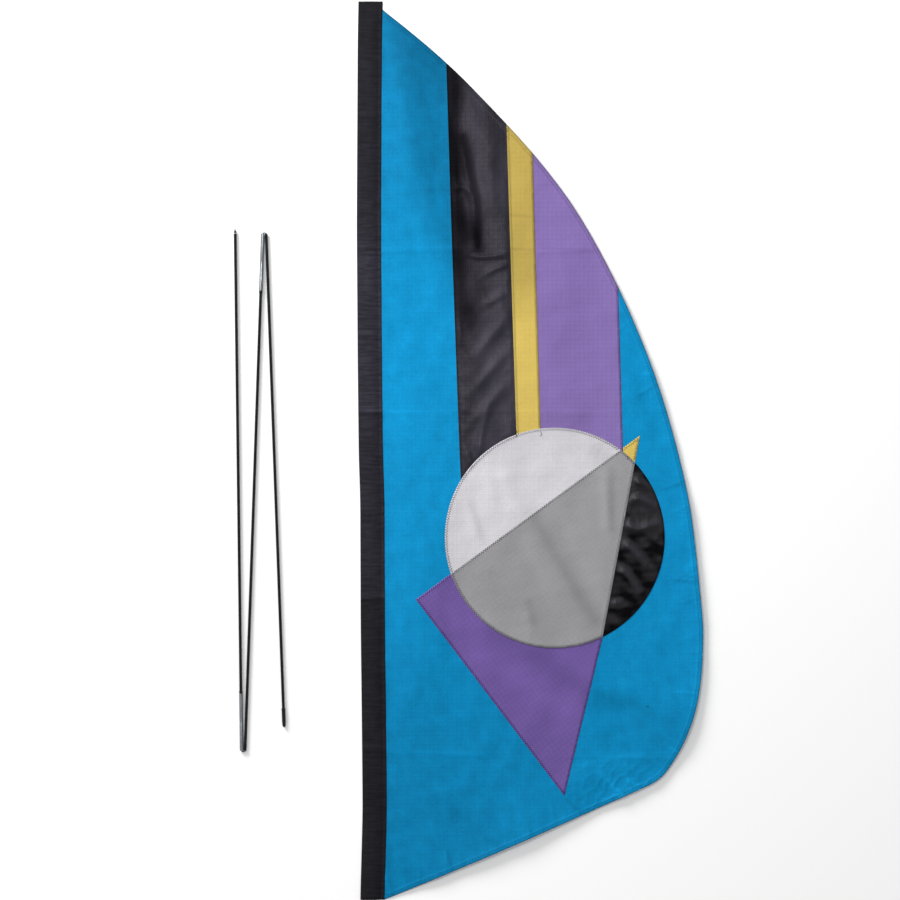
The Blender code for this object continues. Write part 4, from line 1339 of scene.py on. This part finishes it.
def capProfile():
    length, radius, rim = cap["length"], cap["radius"], cap["rim"]
    turns = np.linspace(0.12, 1, 9) * math.pi / 2
    nose = [(radius * 0.93 * math.sin(turn), cap["nose"] * (1 - math.cos(turn))) for turn in turns]
    body = [(radius * 0.985, 0.0080), (radius, 0.0140), (radius, length - 0.0024),
            (rim - 0.00008, length - 0.0018), (rim, length - 0.0012), (rim, length - 0.0006),
            (rim - 0.00012, length - 0.0001), (rim - 0.0003, length)]
    inside = [(cap["bore"], length), (cap["bore"], cap["depth"]), (0.0, cap["depth"])]
    return [(0.0, 0.0), *nose, *body, *inside]


tipLow, tipHigh = ends["tip_tube"]
tipWay = (tipHigh - tipLow).normalized()
capTip = tipLow - tipWay * ((tipLow.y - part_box("tip_cap")[0].y) / tipWay.y)
tipCap = turnedPiece("tipCap", capProfile(), capTip, tipWay, blackRubber, closed=False)
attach(standFor(tipCap, "tip_cap"), "tip_section")
print("pole made")

cordStyle = {
    "radius": 0.0006,
    "loopRise": 0.0011,        # how far a loop stands above the tubes' ends
    "loopDepth": 0.012,        # how far it runs down into each tube
    "knotRadius": 0.00082,
    "knotCoil": 0.00080,
    "knotTail": 0.0026,
}


def foldLoop(name, node, mouth, mouthWay, tubeEnd, tubeWay):
    # the cord comes out of the ferrule's mouth, turns over and goes down into the next tube
    depth, rise = cordStyle["loopDepth"], cordStyle["loopRise"]
    outward = (mouthWay + tubeWay).normalized()
    half, middle = (mouth - tubeEnd) / 2, (mouth + tubeEnd) / 2
    route = [mouth - mouthWay * depth * (1 - t) for t in np.linspace(0, 1, 7)]
    route += [middle + half * math.cos(turn) + outward * rise * math.sin(turn)
              for turn in np.linspace(0, math.pi, 19)[1:-1]]
    route += [tubeEnd - tubeWay * depth * t for t in np.linspace(0, 1, 7)]
    loop = cordPiece(name, [route], [[cordStyle["radius"]] * len(route)], shockCord)
    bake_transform(standFor(loop, node))


(middleLow, middleHigh), (baseLow, baseHigh) = ends["middle_tube"], ends["base_tube"]
middleWay, baseWay = (middleHigh - middleLow).normalized(), (baseHigh - baseLow).normalized()
foldLoop("upperCordLoop", "upper_cord_loop", ends["upper_ferrule"][1], middleWay, tipHigh, tipWay)
foldLoop("lowerCordLoop", "lower_cord_loop", ends["lower_ferrule"][0], -baseWay, middleLow, -middleWay)


def buildKnot():
    # two tight turns against the tube's open end, and the cut tail
    side, up = Vector((baseWay.y, -baseWay.x, 0.0)), Vector((0.0, 0.0, 1.0))
    fat = cordStyle["knotRadius"]
    route, radii = [], [fat] * 40
    for t in np.linspace(0, 1, 40):
        turn = 4.6 * math.pi * t
        swing = cordStyle["knotCoil"] * (1 - 0.25 * t)
        coil = (side * math.cos(turn) + up * math.sin(turn)) * swing
        route.append(baseHigh + baseWay * (0.0012 + 0.0013 * t) + coil)
    last = route[-1]
    for t in np.linspace(0, 1, 9)[1:]:
        goal = baseHigh + baseWay * (0.0028 + cordStyle["knotTail"] * t) - side * 0.00025 * t
        route.append(last.lerp(goal, 2.5 * t) if t < 0.4 else goal)
        radii.append(fat * (1 - t) + cordStyle["radius"] * 0.75 * t)
    knot = cordPiece("cordKnot", [route], [radii], shockCord)
    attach(standFor(knot, "base_knot"), "base_section")


buildKnot()
for node in ("base_cord", "middle_cord", "tip_cord", "tip_cord_anchor"):
    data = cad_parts[node].data
    data.materials.clear()
    data.materials.append(shockCord)
print("cord made")

studio = {
    "floorSize": 8.0,
    "floorColour": (0.93, 0.93, 0.93),
    "worldStrength": 0.50,
    "lights": (                # name, place, size, power; the key is low, so that the cloth's relief shows
        ("softKey", (-1.75, 2.10, 1.20), 1.2, 112.0),
        ("softTop", (-0.75, 0.75, 2.9), 0.9, 24.0),
    ),
}
half = studio["floorSize"] / 2
floorCorners = [(-half, -half, 0), (half, -half, 0), (half, half, 0), (-half, half, 0)]
floorMaterial, _, _ = newMaterial("paleFloor", studio["floorColour"], 0.85)
newMesh("floor", floorCorners, [(0, 1, 2, 3)], floorMaterial, smooth=False)
for name, place, size, power in studio["lights"]:
    data = bpy.data.lights.new(name, "AREA")
    data.shape = "DISK"
    data.size = size
    data.energy = power
    light = link(bpy.data.objects.new(name, data))
    light.location = place
    light.rotation_mode = "QUATERNION"
    light.rotation_quaternion = (-Vector(place)).to_track_quat("-Z", "Y")
    light.visible_camera = False
world = bpy.data.worlds.new("studioRoom")
world.use_nodes = True
world.node_tree.nodes["Background"].inputs["Color"].default_value = (1.0, 1.0, 1.0, 1.0)
world.node_tree.nodes["Background"].inputs["Strength"].default_value = studio["worldStrength"]
bpy.context.scene.world = world
bpy.context.scene.view_settings.view_transform = "Standard"

view = {
    "centre": (-0.0213, 0.0006),
    "width": 1.0692,       # how much of the floor the picture shows
    "lens": 120.0,
}
cameraData = bpy.data.cameras.new("camera")
cameraData.sensor_width = 36.0
cameraData.lens = view["lens"]
cameraData.clip_end = 100.0
camera = link(bpy.data.objects.new("camera", cameraData))
camera.location = (*view["centre"], view["width"] * view["lens"] / cameraData.sensor_width)
bpy.context.scene.camera = camera
print("studio made")
